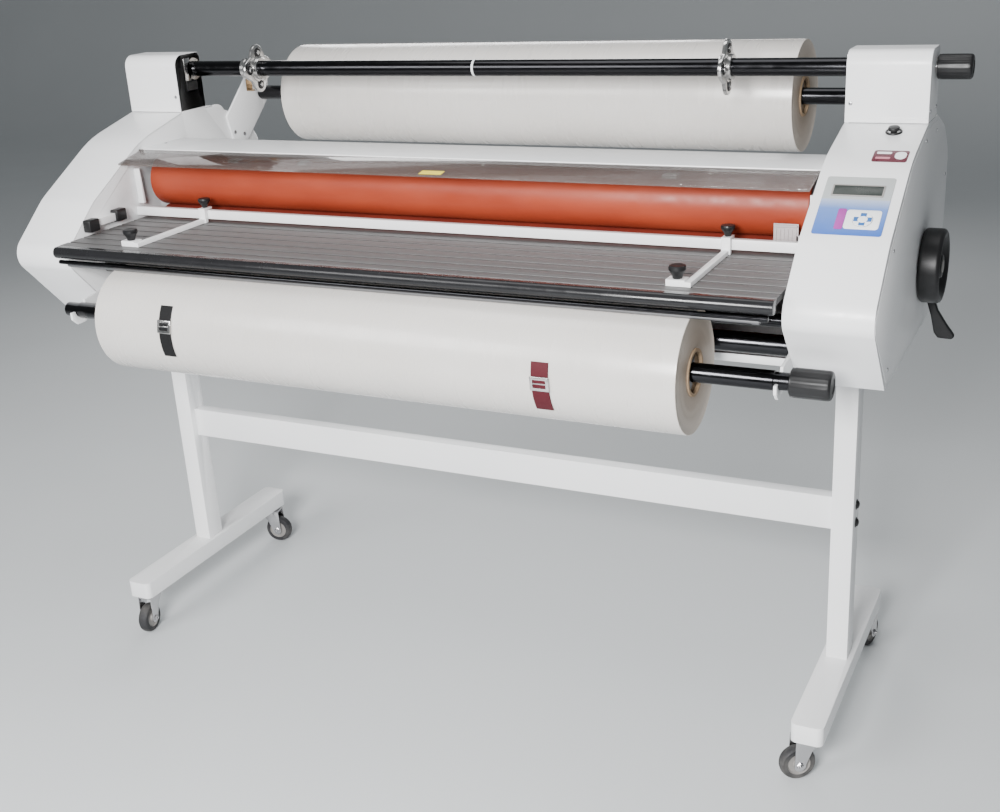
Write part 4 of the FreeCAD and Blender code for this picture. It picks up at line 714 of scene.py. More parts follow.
def make_housings():
    for side, sign in (("left", -1.0), ("right", 1.0)):
        refined("housing_" + side, 0.0035, 3)
        refined("side_frame_" + side, 0.0008, 2)
        refined("shaft_box_" + side, 0.005, 4)
        side_panel(side, sign)
        x = sign * (OUTER + PANEL_THICK)
        places = [at(x, y, z) for y, z in ((-0.235, 1.100), (-0.236, 0.885), (0.283, 0.885),
                                           (0.338, 1.120), (0.060, 1.236), (0.183, 1.236))]
        screw_set("side_panel_screws_" + side, places, (sign, 0.0, 0.0))
        box_low, box_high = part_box("shaft_box_" + side)
        edge = box_low.x if sign < 0 else box_high.x
        places = [Vector((edge, box_low.y + 0.014, box_low.z + 0.020)),
                  Vector((edge, box_high.y - 0.014, box_low.z + 0.020))]
        screw_set("shaft_box_screws_" + side, places, (sign, 0.0, 0.0))
        # folded seam across the front of the box and one fixing screw
        low = (box_low.x + 0.004, box_low.y - 0.0008, box_low.z + 0.008)
        high = (box_high.x - 0.004, box_low.y + 0.0005, box_low.z + 0.0105)
        fit(block("shaft_box_fold_" + side, low, high, 0.0005), "machine",
            WHITE)
        inner_x = box_high.x - 0.010 if sign < 0 else box_low.x + 0.010
        screw_set("shaft_box_front_screw_" + side,
                  [Vector((inner_x, box_low.y, box_low.z + 0.036))], (0.0, -1.0, 0.0))


# ------------------------------------------------------------------ top bar
def make_bar_bearing(side, sign):
    """Slotted bright bracket and black block that hold the bar at a side frame."""
    bar = middle("takeup_bar")
    x = at(sign * 0.7975, 0.0, 0.0).x
    ring_outer, ring_inner = 0.026, 0.0128
    sleeve = turned("bar_sleeve", [(0.0, ring_inner), (0.0, ring_outer), (0.006 * sign, ring_outer),
                                   (0.006 * sign, ring_inner), (0.0, ring_inner)],
                    (x, bar.y, bar.z), steps=40)
    paint(sleeve, CHUCK_METAL)
    plate = block("bar_plate", (min(x, x + 0.004 * sign), bar.y - 0.036, bar.z - 0.026),
                  (max(x, x + 0.004 * sign), bar.y - 0.014, bar.z + 0.028), 0.0012)
    paint(plate, CHUCK_METAL)
    fit(join("bar_bearing_plate_" + side, sleeve, plate), "machine")
    lower = block("bar_block_" + side,
                  (min(x, x + 0.006 * sign), bar.y - 0.034, bar.z - 0.050),
                  (max(x, x + 0.006 * sign), bar.y + 0.006, bar.z - 0.0275), 0.002)
    fit(lower, "machine", BLACK)


def fluted_knob(name, node, body, flutes=20):
    """A ribbed black knob with a domed face and a recessed cap."""
    low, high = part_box(node)
    centre = (low + high) / 2.0
    radius = (high.z - low.z) / 2.0
    length = high.x - low.x
    start = (low.x, centre.y, centre.z)
    body_profile = [(0.0, 0.012), (0.0, radius - 0.004), (0.002, radius - 0.001),
                    (0.005, radius - 0.001), (0.007, radius - 0.0005),
                    (length - 0.012, radius - 0.0005)]
    body_profile += [(length - 0.006 + 0.006 * math.sin(math.radians(t)),
                      radius - 0.0005 - 0.006 * (1 - math.cos(math.radians(t))))
                     for t in (15, 35, 55, 75, 90)]
    body_profile += [(length, radius * 0.55), (length - 0.0012, radius * 0.52),
                     (length - 0.0012, 0.0)]
    knob = turned(name, body_profile, start, steps=flutes * 4)
    edit(knob)
    bpy.ops.mesh.select_all(action="DESELECT")
    leave_edit()
    for vertex in knob.data.vertices:
        y, z = vertex.co.y - centre.y, vertex.co.z - centre.z
        turn = math.degrees(math.atan2(z, y)) % (360.0 / flutes)
        share = turn / (360.0 / flutes)
        outer = math.hypot(y, z) > radius * 0.8
        inside = 0.006 < vertex.co.x - low.x < length - 0.004
        vertex.select = outer and inside and 0.3 < share < 0.7
    edit_selected(knob)
    bpy.ops.transform.resize(value=(1.0, 0.972, 0.972), center_override=centre)
    leave_edit()
    return fit(knob, body, BLACK, 40.0, (node,))


def edit_selected(piece):
    only(piece)
    bpy.ops.object.mode_set(mode="EDIT")


def make_top_bar():
    centre = middle("takeup_bar")
    inner = 0.797
    journal = 0.0124
    bar_profile = [(-0.843, 0.0), (-0.843, 0.0115), (-0.842, journal), (-inner, journal),
                   (-inner, 0.0168), (-inner + 0.0015, 0.018), (inner - 0.0015, 0.018),
                   (inner, 0.0168), (inner, journal), (0.970, journal), (0.970, 0.0)]
    axis_point = (at(0.0, 0.0, 0.0).x, centre.y, centre.z)
    fit(turned("takeup_bar_polished", bar_profile, axis_point, steps=72), "takeup",
        BAR_METAL, replaced=("takeup_bar",))
    ring = turned("bar_ring_mark", [(-0.0025, 0.0179), (-0.0025, 0.0184), (0.0025, 0.0184),
                                    (0.0025, 0.0179), (-0.0025, 0.0179)],
                  (at(-0.019, 0, 0).x, centre.y, centre.z), steps=72)
    fit(ring, "takeup", KEY_WHITE)
    for side, sign in (("left", -1.0), ("right", 1.0)):
        make_bar_bearing(side, sign)
    fluted_knob("takeup_knob_ribbed", "takeup_knob", "takeup")
    collar_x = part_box("takeup_knob")[0].x
    collar = turned("knob_collar", [(-0.0017, 0.0127), (-0.0017, 0.0166), (-0.0011, 0.0172),
                                    (0.0, 0.0172), (0.0, 0.0127), (-0.0017, 0.0127)],
                    (collar_x, centre.y, centre.z), steps=40)
    fit(collar, "takeup", CHUCK_METAL)


def make_chuck(side):
    """Core chuck: clamp collar, fat four-lobed plate and rubber jaws with bright studs."""
    node = "core_chuck_" + side
    low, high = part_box(node)
    centre = (low + high) / 2.0
    reach = (high.z - low.z) / 2.0
    bore = 0.0182
    collar = turned("collar", [(-0.013, bore), (-0.013, 0.0245), (-0.0115, 0.026),
                               (-0.006, 0.026), (-0.0055, 0.030), (0.0055, 0.030),
                               (0.006, 0.026), (0.0115, 0.026), (0.013, 0.0245),
                               (0.013, bore), (-0.013, bore)], centre, steps=56)
    paint(collar, CHUCK_METAL)
    points = []
    lobe = 0.0235
    for quarter in range(4):
        turn = 90.0 * quarter
        hub = reach - lobe - 0.0005
        u, v = hub * math.cos(math.radians(turn)), hub * math.sin(math.radians(turn))
        points += arc(u, v, lobe, turn - 68.0, turn + 68.0, 12)
        waist = math.radians(turn + 45.0)
        points += [(0.040 * math.cos(waist), 0.040 * math.sin(waist))]
    plate = outline_solid("lobed_plate",
                          [(centre.x - 0.004, centre.y + u, centre.z + v) for u, v in points],
                          (0.008, 0.0, 0.0))
    drill(plate, centre, 0.024, 0.02, steps=40)
    soften(plate, 0.0016, 3)
    paint(plate, CHUCK_METAL)
    pieces = [plate]
    for quarter in range(4):
        turn = math.radians(90.0 * quarter)
        spot = centre + Vector((0.0, math.cos(turn), math.sin(turn))) * (reach - 0.019)
        jaw = turned("jaw", [(-0.0062, 0.0), (-0.0062, 0.0095), (-0.0052, 0.0110),
                             (0.0052, 0.0110), (0.0062, 0.0095), (0.0062, 0.0)],
                     spot, steps=28)
        paint(jaw, BLACK)
        stud = turned("stud", [(-0.0085, 0.0), (-0.0085, 0.0040), (-0.0072, 0.0050),
                               (0.0072, 0.0050), (0.0085, 0.0040), (0.0085, 0.0)],
                      spot, steps=20)
        paint(stud, CHUCK_METAL)
        pieces += [jaw, stud]
    lever = block("clamp", (centre.x - 0.006, centre.y - 0.0375, centre.z - 0.004),
                  (centre.x + 0.006, centre.y - 0.027, centre.z + 0.010), 0.0012)
    paint(lever, CHUCK_METAL)
    pieces.append(lever)
    if side == "left":
        # two clamp rings that lock the chuck on the bar
        for start in (-0.0250, -0.0375):
            ring = turned("clamp_ring", [(start, bore), (start, 0.0225), (start + 0.0015, 0.0240),
                                         (start + 0.0100, 0.0240), (start + 0.0115, 0.0225),
                                         (start + 0.0115, bore), (start, bore)],
                          centre, steps=56)
            paint(ring, CHUCK_METAL)
            pieces.append(ring)
        foot = block("chuck_foot", (centre.x - 0.034, centre.y - 0.010, centre.z - 0.052),
                     (centre.x - 0.013, centre.y + 0.012, centre.z - 0.0232), 0.0014)
        cutter = block("foot_cut", (centre.x - 0.031, centre.y - 0.02, centre.z - 0.049),
                       (centre.x - 0.012, centre.y + 0.02, centre.z - 0.036), 0.0)
        carve(foot, cutter)
        paint(foot, BRASS)
        pieces.append(foot)
    chuck = join("core_chuck_%s_clamped" % side, collar, *pieces)
    fit(chuck, "core_chuck_" + side, replaced=(node,))


# ------------------------------------------------------------------ rollers
def make_roller(which, body, material):
    centre, radius, half = lying(which + "_roller_sleeve")
    inner = 0.0499
    profile = [(-half, inner), (-half, radius - 0.003), (-half + 0.0008, radius - 0.0008),
               (-half + 0.003, radius), (half - 0.003, radius),
               (half - 0.0008, radius - 0.0008), (half, radius - 0.003), (half, inner),
               (-half, inner)]
    fit(turned(which + "_roller_rubber", profile, centre, steps=96), body,
        material, replaced=(which + "_roller_sleeve",))
    journal, reach = 0.015, 0.822
    core = [(-reach, 0.0), (-reach, journal - 0.001), (-reach + 0.001, journal),
            (-half - 0.004, journal), (-half - 0.004, 0.030), (-half, 0.032),
            (-half, inner), (half, inner), (half, 0.032), (half + 0.004, 0.030),
            (half + 0.004, journal), (reach - 0.001, journal), (reach, journal - 0.001),
            (reach, 0.0)]
    fit(turned(which + "_roller_shaft", core, centre, steps=72), body, STEEL,
        replaced=(which + "_roller_core",))


# ------------------------------------------------------------------ film rolls
def make_film(which, body, edge_material):
    """Film roll: slightly waved cut ends, a step where the outer wrap stops."""
    node = which + "_film"
    centre, radius, half = lying(node)
    inner = 0.0442
    rings = 9
    profile = []
    for n in range(rings + 1):
        share = n / rings
        dent = 0.0012 * math.sin(n * 2.4) - 0.0015 * (1.0 - share)
        profile.append((-half + 0.0022 - dent * 0.5, inner + (radius - 0.0015 - inner) * share))
    profile[-1] = (-half + 0.0006, radius - 0.0016)
    wrap = [(-half + 0.0012, radius - 0.0004), (-half + 0.0035, radius),
            (half - 0.0035, radius), (half - 0.0012, radius - 0.0004)]
    mirrored = [(-a, r) for a, r in reversed(profile)]
    mirrored[0] = (half - 0.0006, radius - 0.0016)
    loop = profile + wrap + mirrored + [profile[0]]
    roll = turned(which + "_film_wound", loop, centre, steps=120)
    roll.data.materials.append(FILM)
    roll.data.materials.append(edge_material)
    for face in roll.data.polygons:
        if abs(face.normal.x) > 0.5:
            face.material_index = 1
    fit(roll, body, replaced=(node,))
    # loose tail of the outer wrap, held flat on the roll
    tail = turned(which + "_film_tail", [(-half + 0.004, radius), (-half + 0.004, radius + 0.0004),
                                         (half - 0.004, radius + 0.0004), (half - 0.004, radius),
                                         (-half + 0.004, radius)], centre, steps=48, angle=150.0)
    close_ends(tail)
    fit(tail, body, FILM)
    core_half = lying(which + "_core")[2]
    core_profile = [(-core_half, 0.0381), (-core_half, 0.0436), (-core_half + 0.0006, 0.0440),
                    (core_half - 0.0006, 0.0440), (core_half, 0.0436), (core_half, 0.0381),
                    (-core_half, 0.0381)]
    fit(turned(which + "_core_tube", core_profile, centre, steps=72), body,
        CARD, replaced=(which + "_core",))


def close_ends(piece):
    edit(piece)
    bpy.ops.mesh.select_all(action="DESELECT")
    bpy.ops.mesh.select_mode(type="EDGE")
    bpy.ops.mesh.select_non_manifold(extend=False, use_wire=False, use_boundary=True,
                                     use_multi_face=False, use_non_contiguous=False,
                                     use_verts=False)
    bpy.ops.mesh.fill_holes(sides=0)
    tidy_normals()
    leave_edit()


def make_strap(name, x, width, start, sweep, material, buckle_at):
    """A flat strap round the lower roll with a bright buckle, angles from the top."""
    centre, radius, _ = lying("lower_film")
    radius += 0.0006
    place = Vector((at(x, 0, 0).x, centre.y, centre.z))
    half = width / 2.0
    rim = 0.0016
    profile = [(-half, radius), (-half, radius + rim), (-half + 0.0006, radius + rim + 0.0004),
               (half - 0.0006, radius + rim + 0.0004), (half, radius + rim), (half, radius),
               (-half, radius)]

    def turned_by(angle):
        return (Matrix.Translation(place) @ Matrix.Rotation(math.radians(angle), 4, "X")
                @ Matrix.Translation(-place))

    strap = turned(name, profile, place, steps=40, angle=sweep)
    close_ends(strap)
    turn_piece(strap, turned_by(start + sweep))
    paint(strap, material)
    buckle = block("buckle", (place.x - half - 0.002, place.y - 0.014,
                              place.z + radius + 0.0012),
                   (place.x + half + 0.002, place.y + 0.014, place.z + radius + 0.0052),
                   0.0016, 3)
    opening = block("opening", (place.x - half + 0.004, place.y - 0.008, place.z + radius),
                    (place.x + half - 0.004, place.y + 0.008, place.z + radius + 0.008))
    carve(buckle, opening)
    pin = block("buckle_pin", (place.x - half, place.y - 0.0012, place.z + radius + 0.0018),
                (place.x + half, place.y + 0.0012, place.z + radius + 0.0040), 0.0005)
    buckle = join("buckle", buckle, pin)
    turn_piece(buckle, turned_by(start + buckle_at))
    paint(buckle, CHUCK_METAL)
    fit(join(name, strap, buckle), "lower_roll")


def make_roll_shafts():
    for which in ("supply", "lower"):
        refined(which + "_shaft", 0.0012, 2, BAR_METAL, 40.0)
    fluted_knob("lower_knob_ribbed", "lower_shaft_knob", "lower_roll", 16)


# ------------------------------------------------------------------ feed table
def make_table():
    table = refined("feed_table", 0.0004, 2, TABLE_METAL)
    table.data.materials.append(GROOVE_PAINTED_SHADE)
    table_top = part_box("feed_table")[1].z
    # faces just below the table top, the groove floors and walls, take the near-black finish: painted shade inside
    # the grooves
    for face in table.data.polygons:
        if table_top - 0.0035 < face.center.z < table_top - 0.0003:
            face.material_index = 1
    low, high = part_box("table_lip")
    back, front = high.y, low.y
    top, bottom = high.z, low.z
    middle_z = (top + bottom) / 2.0
    nose = (top - bottom) / 2.0
    profile = [(back, top), (front + nose, top - 0.0006)]
    profile += arc(front + nose, middle_z, nose, 100.0, 260.0, 14)
    profile.append((back, bottom))
    points = [(low.x, y, max(bottom, min(top, z))) for y, z in profile]
    lip = outline_solid("table_lip_round", points, (high.x - low.x, 0.0, 0.0))
    soften(lip, 0.0015, 2, 50.0)
    fit(lip, "machine", LIP_BLACK, replaced=("table_lip",))
    # bright rods below the lip, with capped ends
    for n, (back_step, drop, radius) in enumerate(((-0.005, 0.0195, 0.0048),
                                                   (0.004, 0.0265, 0.0055))):
        place = (at(0, 0, 0).x, front + nose + back_step, middle_z - drop)
        end, cap = 0.790 - 0.016 * n, radius * 1.2
        profile = [(-end, 0.0), (-end, radius * 0.8), (-end + 0.001, radius), (end - 0.014, radius),
                   (end - 0.014, cap), (end - 0.001, cap), (end, radius), (end, 0.0)]
        fit(turned("table_trim_rod_%d" % (n + 1), profile, place, steps=32), "machine",
            (BAR_METAL, ALUMINIUM)[n])
    refined("guide_rail", 0.0008, 2)


def make_guides():
    for side in ("left", "right"):
        refined("side_guide_" + side, 0.0014, 3)
        low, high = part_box("guide_knobs_" + side)
        brim, neck, tall = 0.0138, 0.006, 0.022
        rear = (high.x - brim, high.y - brim, high.z)
        funnel = turned("rail_knob", [(0.0, 0.0), (0.0, brim - 0.003), (-0.0008, brim - 0.0008),
                                      (-0.003, brim), (-0.007, brim - 0.0004),
                                      (-0.011, brim * 0.78), (-0.015, brim * 0.56),
                                      (-tall + 0.0012, neck), (-tall, neck - 0.0008),
                                      (-tall, 0.0)], rear, "Z", steps=36)
        brim, neck, tall = 0.0158, 0.009, 0.024
        front = (low.x + brim, low.y + brim, low.z)
        cup = turned("toe_knob", [(0.0, 0.0), (0.0, neck - 0.0008), (0.0012, neck),
                                  (0.006, neck + 0.0008), (0.012, brim * 0.82),
                                  (0.016, brim), (tall - 0.002, brim),
                                  (tall - 0.0004, brim - 0.0014), (tall, brim - 0.004),
                                  (tall - 0.0008, brim * 0.5), (tall - 0.0008, 0.0)],
                     front, "Z", steps=36)
        fit(join("guide_knobs_%s_turned" % side, funnel, cup), "side_guide_" + side,
            BLACK, replaced=("guide_knobs_" + side,))


def make_table_catch():
    """Two black blocks on a white bracket on the left frame above the table."""
    x = -WALL + 0.0002
    bracket = block("catch_bracket", at(x, -0.286, 1.0655), at(x + 0.016, -0.222, 1.0835),
                    0.002, 3)
    fit(bracket, "machine", WHITE)
    ends = []
    for y0, y1, z0, z1 in ((-0.315, -0.282, 1.058, 1.086), (-0.224, -0.191, 1.0625, 1.090)):
        ends.append(block("catch_end", at(x, y0, z0), at(x + 0.022, y1, z1), 0.0035, 3))
    fit(join("catch_ends", *ends), "machine", BLACK)


# ------------------------------------------------------------------ covers
def make_covers():
    refined("top_cover", 0.0009, 2)
    refined("rear_hood", 0.0008, 2)
    refined("exit_table", 0.0007, 2)
    refined("base_pan", 0.0008, 2)
    refined("roller_guards", 0.0009, 2)
    refined("nip_shield", 0.0010, 2)
    low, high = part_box("top_cover")
    places = [Vector((x, (low.y + high.y) / 2.0, high.z))
              for x in (low.x + 0.012, high.x - 0.012)]
    screw_set("top_cover_screws", places, (0.0, 0.0, 1.0))
    hood_low, hood_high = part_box("rear_hood")
    span = hood_high.x - hood_low.x
    places = [Vector((hood_low.x + span * share, hood_high.y, hood_low.z + 0.008))
              for share in (0.02, 0.25, 0.5, 0.75, 0.98)]
    screw_set("rear_hood_screws", places, (0.0, 1.0, 0.0))
    # catches on the shield's underside near its hinge
    shield_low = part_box("nip_shield")[0]
    clips = []
    for x, wide in ((-0.515, 0.030), (-0.330, 0.022), (0.515, 0.030)):
        spot = at(x, -0.104, 1.189)
        clip = block("clip", spot + Vector((-wide / 2, -0.012, -0.0035)),
                     spot + Vector((wide / 2, 0.008, 0.0045)), 0.0012)
        clips.append(clip)
    fit(join("shield_catches", *clips), "nip_shield", CHUCK_METAL)
    # blank yellow label on the shield's front edge
    edge = at(0.022, 0.0, 0.0).x
    slope = math.atan2(0.015, 0.084)
    label = block("shield_label", (edge - 0.026, -0.019, 0.0001), (edge + 0.026, 0.0, 0.0005))
    foot = Vector((0.0, shield_low.y + 0.022, shield_low.z + 0.0086))
    turn_piece(label, Matrix.Translation(foot) @ Matrix.Rotation(slope, 4, "X"))
    fit(label, "nip_shield", YELLOW)


def make_ribbed_bracket():
    """A small ribbed grey bracket in front of the roller's right end."""
    place = at(0.7410, -0.110, 1.091)
    half_wide, half_tall = 0.0235, 0.017
    low = place - Vector((half_wide, 0.0, half_tall))
    high = place + Vector((half_wide, 0.0025, half_tall))
    pieces = [block("ribbed_plate", low, high, 0.0006)]
    foot = block("ribbed_foot", (high.x - 0.004, low.y, low.z),
                 (at(0.8032, 0, 0).x, high.y, low.z + 0.012), 0.0006)
    pieces.append(foot)
    for n in range(6):
        x = low.x + 0.0045 + 0.0075 * n
        pieces.append(block("rib", (x - 0.0012, low.y - 0.002, low.z + 0.003),
                            (x + 0.0012, low.y + 0.0005, high.z - 0.010), 0.0004))
    pieces.append(block("ribbed_brow", (low.x + 0.002, low.y - 0.004, high.z - 0.006),
                        (high.x - 0.002, low.y + 0.0005, high.z - 0.002), 0.0006))
    fit(join("ribbed_bracket", *pieces), "machine", RIB_GREY)


def make_supply_arms():
    for side, sign in (("left", -1.0), ("right", 1.0)):
        refined("supply_arm_" + side, 0.0010, 2)
        low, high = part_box("supply_arm_" + side)
        face = high.x if sign < 0 else low.x
        places = [Vector((face, at(0, 0.268, 0).y, 1.185)),
                  Vector((face, at(0, 0.306, 0).y, 1.175))]
        screw_set("supply_arm_screws_" + side, places, (-sign, 0.0, 0.0), radius=0.005)
    refined("shaft_cradles", 0.0010, 2)


# ------------------------------------------------------------------ controls
press = joints["nav_key_press"]["axis"]
LEAN = math.atan2(press[1], -press[2])
PANEL_FACE = (Vector(panel_low) + Vector(panel_high)) / 2.0 + Vector(
    (0.0, -math.sin(LEAN), math.cos(LEAN))) * 0.0006
ON_PANEL = Matrix.Translation(PANEL_FACE) @ Matrix.Rotation(LEAN, 4, "X")


def rounded_tile(name, centre, wide, tall, corner, low, high):
    """A flat tile with round corners, laid out on the sloped panel."""
    u, v = centre
    half_u, half_v = wide / 2.0 - corner, tall / 2.0 - corner
    points = []
    for turn, su, sv in ((0.0, 1, 1), (90.0, -1, 1), (180.0, -1, -1), (270.0, 1, -1)):
        points += arc(u + half_u * su, v + half_v * sv, corner, turn, turn + 90.0, 5)
    tile = outline_solid(name, [(a, b, low) for a, b in points], (0.0, 0.0, high - low))
    soften(tile, min(0.0003, (high - low) * 0.3), 2)
    return tile


def on_panel(piece):
    turn_piece(piece, ON_PANEL)
    return piece


def make_panel():
    wide = panel_high.x - panel_low.x
    tall = (panel_high.z - panel_low.z - 0.0012 * math.cos(LEAN)) / math.sin(LEAN)
    key_low, key_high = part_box("nav_key")
    key = (key_low + key_high) / 2.0
    key_u = key.x - PANEL_FACE.x
    key_v = -0.036
    base = rounded_tile("panel_film", (0.0, 0.0), wide, tall, 0.005, -0.0011, 0.0)
    drill(base, (key_u, key_v, 0.0), 0.0175, axis="Z")
    fit(on_panel(base), "machine", PANEL, replaced=("control_panel",))
    bezel = rounded_tile("display_bezel", (0.0, 0.038), 0.092, 0.030, 0.002, 0.0, 0.0009)
    fit(on_panel(bezel), "machine", GREY)
    glass = rounded_tile("display_window", (0.0, 0.038), 0.086, 0.0235, 0.001, 0.0008, 0.0014)
    fit(on_panel(glass), "machine", GLASS)
    strip = rounded_tile("keypad_strip", (key_u - 0.0385, key_v + 0.001), 0.015, 0.052, 0.004,
                         0.0, 0.0007)
    fit(on_panel(strip), "machine", MAGENTA)
    pad = rounded_tile("keypad_plate", (key_u - 0.0005, key_v + 0.001), 0.060, 0.048, 0.006,
                       0.0, 0.0006)
    drill(pad, (key_u, key_v, 0.0), 0.0176, axis="Z")
    fit(on_panel(pad), "machine", KEY_WHITE)
    disc = turned("nav_key_disc", [(-0.0075, 0.0), (-0.0075, 0.006), (0.0003, 0.006),
                                   (0.0003, 0.0164), (0.0016, 0.0168), (0.0022, 0.0160),
                                   (0.0019, 0.0078), (0.0024, 0.0072), (0.0026, 0.0)],
                  (key_u, key_v, 0.0), "Z", steps=64)
    paint(disc, KEY_WHITE)
    petals = []
    for quarter in range(4):
        turn = 90.0 * quarter
        points = arc(0.0, 0.0, 0.0085, turn - 38.0, turn + 38.0, 6)
        tip = math.radians(turn)
        side = math.radians(turn + 90.0)
        reach, flat = 0.0155, 0.0052
        points += [(reach * math.cos(tip) + flat * math.cos(side),
                    reach * math.sin(tip) + flat * math.sin(side)),
                   (reach * math.cos(tip) - flat * math.cos(side),
                    reach * math.sin(tip) - flat * math.sin(side))]
        petal = outline_solid("petal", [(key_u + a, key_v + b, 0.0018) for a, b in points],
                              (0.0, 0.0, 0.0010))
        soften(petal, 0.0003, 2)
        paint(petal, KEY_BLUE)
        petals.append(petal)
    nav = join("nav_key_pad", disc, *petals)
    on_panel(nav)
    fit(nav, "nav_key", replaced=("nav_key",))


def laid_on_brow(piece, thickness):
    """Drop a flat sheet on to the right housing's curved brow and give it thickness."""
    skin = bpy.data.objects["housing_right_skin"]
    apply_modifier(piece, "SHRINKWRAP", target=skin, wrap_method="PROJECT",
                   use_project_z=True, use_negative_direction=True,
                   use_positive_direction=False, offset=0.0002)
    apply_modifier(piece, "SOLIDIFY", thickness=thickness, offset=1.0)
    edit(piece)
    tidy_normals()
    leave_edit()


def brow_sheet(name, x, y, wide, deep, corner, cuts):
    """A flat rounded sheet, finely cut across its depth, held above the brow."""
    points = []
    for turn, su, sv in ((0.0, 1, 1), (90.0, -1, 1), (180.0, -1, -1), (270.0, 1, -1)):
        points += arc(x + (wide / 2.0 - corner) * su, y + (deep / 2.0 - corner) * sv, corner,
                      turn, turn + 90.0, 6)
    spots = [at(u, v, 1.30) for u, v in points]
    piece = one_point(name, spots[0])
    draw_line(spots)
    bpy.ops.mesh.select_all(action="SELECT")
    bpy.ops.mesh.remove_doubles(threshold=CLOSE)
    bpy.ops.mesh.edge_face_add()
    for n in range(1, cuts):
        bpy.ops.mesh.select_all(action="SELECT")
        bpy.ops.mesh.bisect(plane_co=at(x, y - deep / 2.0 + deep * n / cuts, 1.30),
                            plane_no=(0.0, 1.0, 0.0))
    bpy.ops.mesh.select_all(action="SELECT")
    bpy.ops.mesh.normals_make_consistent(inside=False)
    leave_edit()
    if piece.data.polygons[0].normal.z < 0.0:
        edit(piece)
        bpy.ops.mesh.flip_normals()
        leave_edit()
    return piece


def make_badge():
    """A plain maroon badge on the brow with a blank light disc and two bars."""
    cuts = 10
    for name, x, y, wide, deep, corner, thickness, material in (
            ("brow_badge", 0.9165, -0.064, 0.062, 0.040, 0.0045, 0.0006, BADGE),
            ("brow_badge_disc", 0.934, -0.062, 0.020, 0.026, 0.0095, 0.0009, KEY_WHITE),
            ("brow_badge_bar_upper", 0.904, -0.054, 0.026, 0.008, 0.002, 0.0009, KEY_WHITE),
            ("brow_badge_bar_lower", 0.904, -0.072, 0.026, 0.006, 0.002, 0.0009, BADGE_PINK)):
        sheet = brow_sheet(name, x, y, wide, deep, corner, cuts)
        laid_on_brow(sheet, thickness)
        fit(sheet, "machine", material)


def make_stop_button():
    push = joints["stop_press"]["axis"]
    lean = math.atan2(push[1], -push[2])
    skin_high = 1.226 + math.tan(lean) * (0.037 + 0.085)
    base = at(0.903, 0.037, skin_high)
    turn = Matrix.Translation(base) @ Matrix.Rotation(lean, 4, "X")
    cap = turned("stop_cap", [(0.0046, 0.0), (0.0046, 0.0098), (0.0056, 0.0110),
                              (0.0086, 0.0110), (0.0104, 0.0098), (0.0112, 0.0070),
                              (0.0116, 0.0)], (0.0, 0.0, 0.0), "Z", steps=48)
    stalk = turned("stalk", [(-0.008, 0.0), (-0.008, 0.006), (0.005, 0.006), (0.005, 0.0)],
                   (0.0, 0.0, 0.0), "Z", steps=32)
    button = join("stop_button_cap", cap, stalk)
    turn_piece(button, turn)
    fit(button, "stop_button", BLACK, replaced=("stop_button",))
    collar = turned("stop_bezel", [(0.0, 0.0121), (0.0, 0.0155), (0.0012, 0.0158),
                                   (0.0029, 0.0148), (0.0034, 0.0134), (0.0030, 0.0122),
                                   (0.0, 0.0121)], (0.0, 0.0, 0.0), "Z", steps=48)
    turn_piece(collar, turn)
    fit(collar, "machine", BLACK)


def make_handwheel():
    low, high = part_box("handwheel")
    centre = (low + high) / 2.0
    radius = (high.z - low.z) / 2.0
    wide = high.x - low.x
    bore = 0.0102
    profile = [(0.0, bore), (0.0, radius - 0.009)]
    profile += [(0.007 - 0.007 * math.cos(math.radians(t)),
                 radius - 0.007 + 0.007 * math.sin(math.radians(t))) for t in (20, 45, 70, 90)]
    profile += [(wide - 0.008, radius)]
    profile += [(wide - 0.008 + 0.008 * math.sin(math.radians(t)),
                 radius - 0.008 + 0.008 * math.cos(math.radians(t))) for t in (20, 45, 70, 90)]
    profile += [(wide - 0.002, radius - 0.014), (wide - 0.010, radius - 0.020),
                (wide - 0.013, radius - 0.030), (wide - 0.013, 0.030), (wide - 0.010, 0.025),
                (wide - 0.004, 0.022), (wide - 0.003, 0.019), (wide - 0.004, 0.014),
                (wide - 0.004, 0.0)]
    wheel = turned("handwheel_moulding", profile, (low.x, centre.y, centre.z), steps=96)
    soften(wheel, 0.0006, 2, 50.0)
    paint(wheel, BLACK)
    cap = turned("cap", [(wide - 0.0045, 0.0), (wide - 0.0045, 0.0125), (wide - 0.0032, 0.0132),
                         (wide - 0.0020, 0.0118), (wide - 0.0020, 0.0)],
                 (low.x, centre.y, centre.z), steps=40)
    paint(cap, GREY)
    fit(join("handwheel_moulding", wheel, cap), "cam_shaft", angle=38.0,
        replaced=("handwheel",))


def make_lever():
    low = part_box("lock_lever")[0]
    pivot = Vector(joints["lever_turn"]["pos_m"])
    x = at(0.960, 0.0, 0.0).x
    top, foot = pivot.z, low.z
    outline = [(x + 0.004, top + 0.010), (x + 0.015, top + 0.010), (x + 0.018, top - 0.006),
               (x + 0.028, top - 0.034), (x + 0.046, top - 0.062), (x + 0.061, foot + 0.010),
               (x + 0.062, foot + 0.004), (x + 0.057, foot), (x + 0.030, foot + 0.001),
               (x + 0.022, foot + 0.012), (x + 0.014, top - 0.044), (x + 0.005, top - 0.016)]
    blade = outline_solid("lever_blade", [(a, pivot.y - 0.0065, b) for a, b in outline],
                          (0.0, 0.013, 0.0))
    soften(blade, 0.003, 4)
    boss = turned("boss", [(0.0, 0.0), (0.0, 0.0125), (0.0015, 0.014), (0.014, 0.014),
                           (0.016, 0.0125), (0.0165, 0.0)], (x, pivot.y, pivot.z), steps=40)
    shaft = turned("shaft", [(-0.024, 0.0), (-0.024, 0.0062), (-0.0232, 0.007), (0.004, 0.007),
                             (0.004, 0.0)], (x, pivot.y, pivot.z), steps=32)
    fit(join("lock_lever_blade", blade, boss, shaft), "lock_lever", BLACK,
        replaced=("lock_lever",))


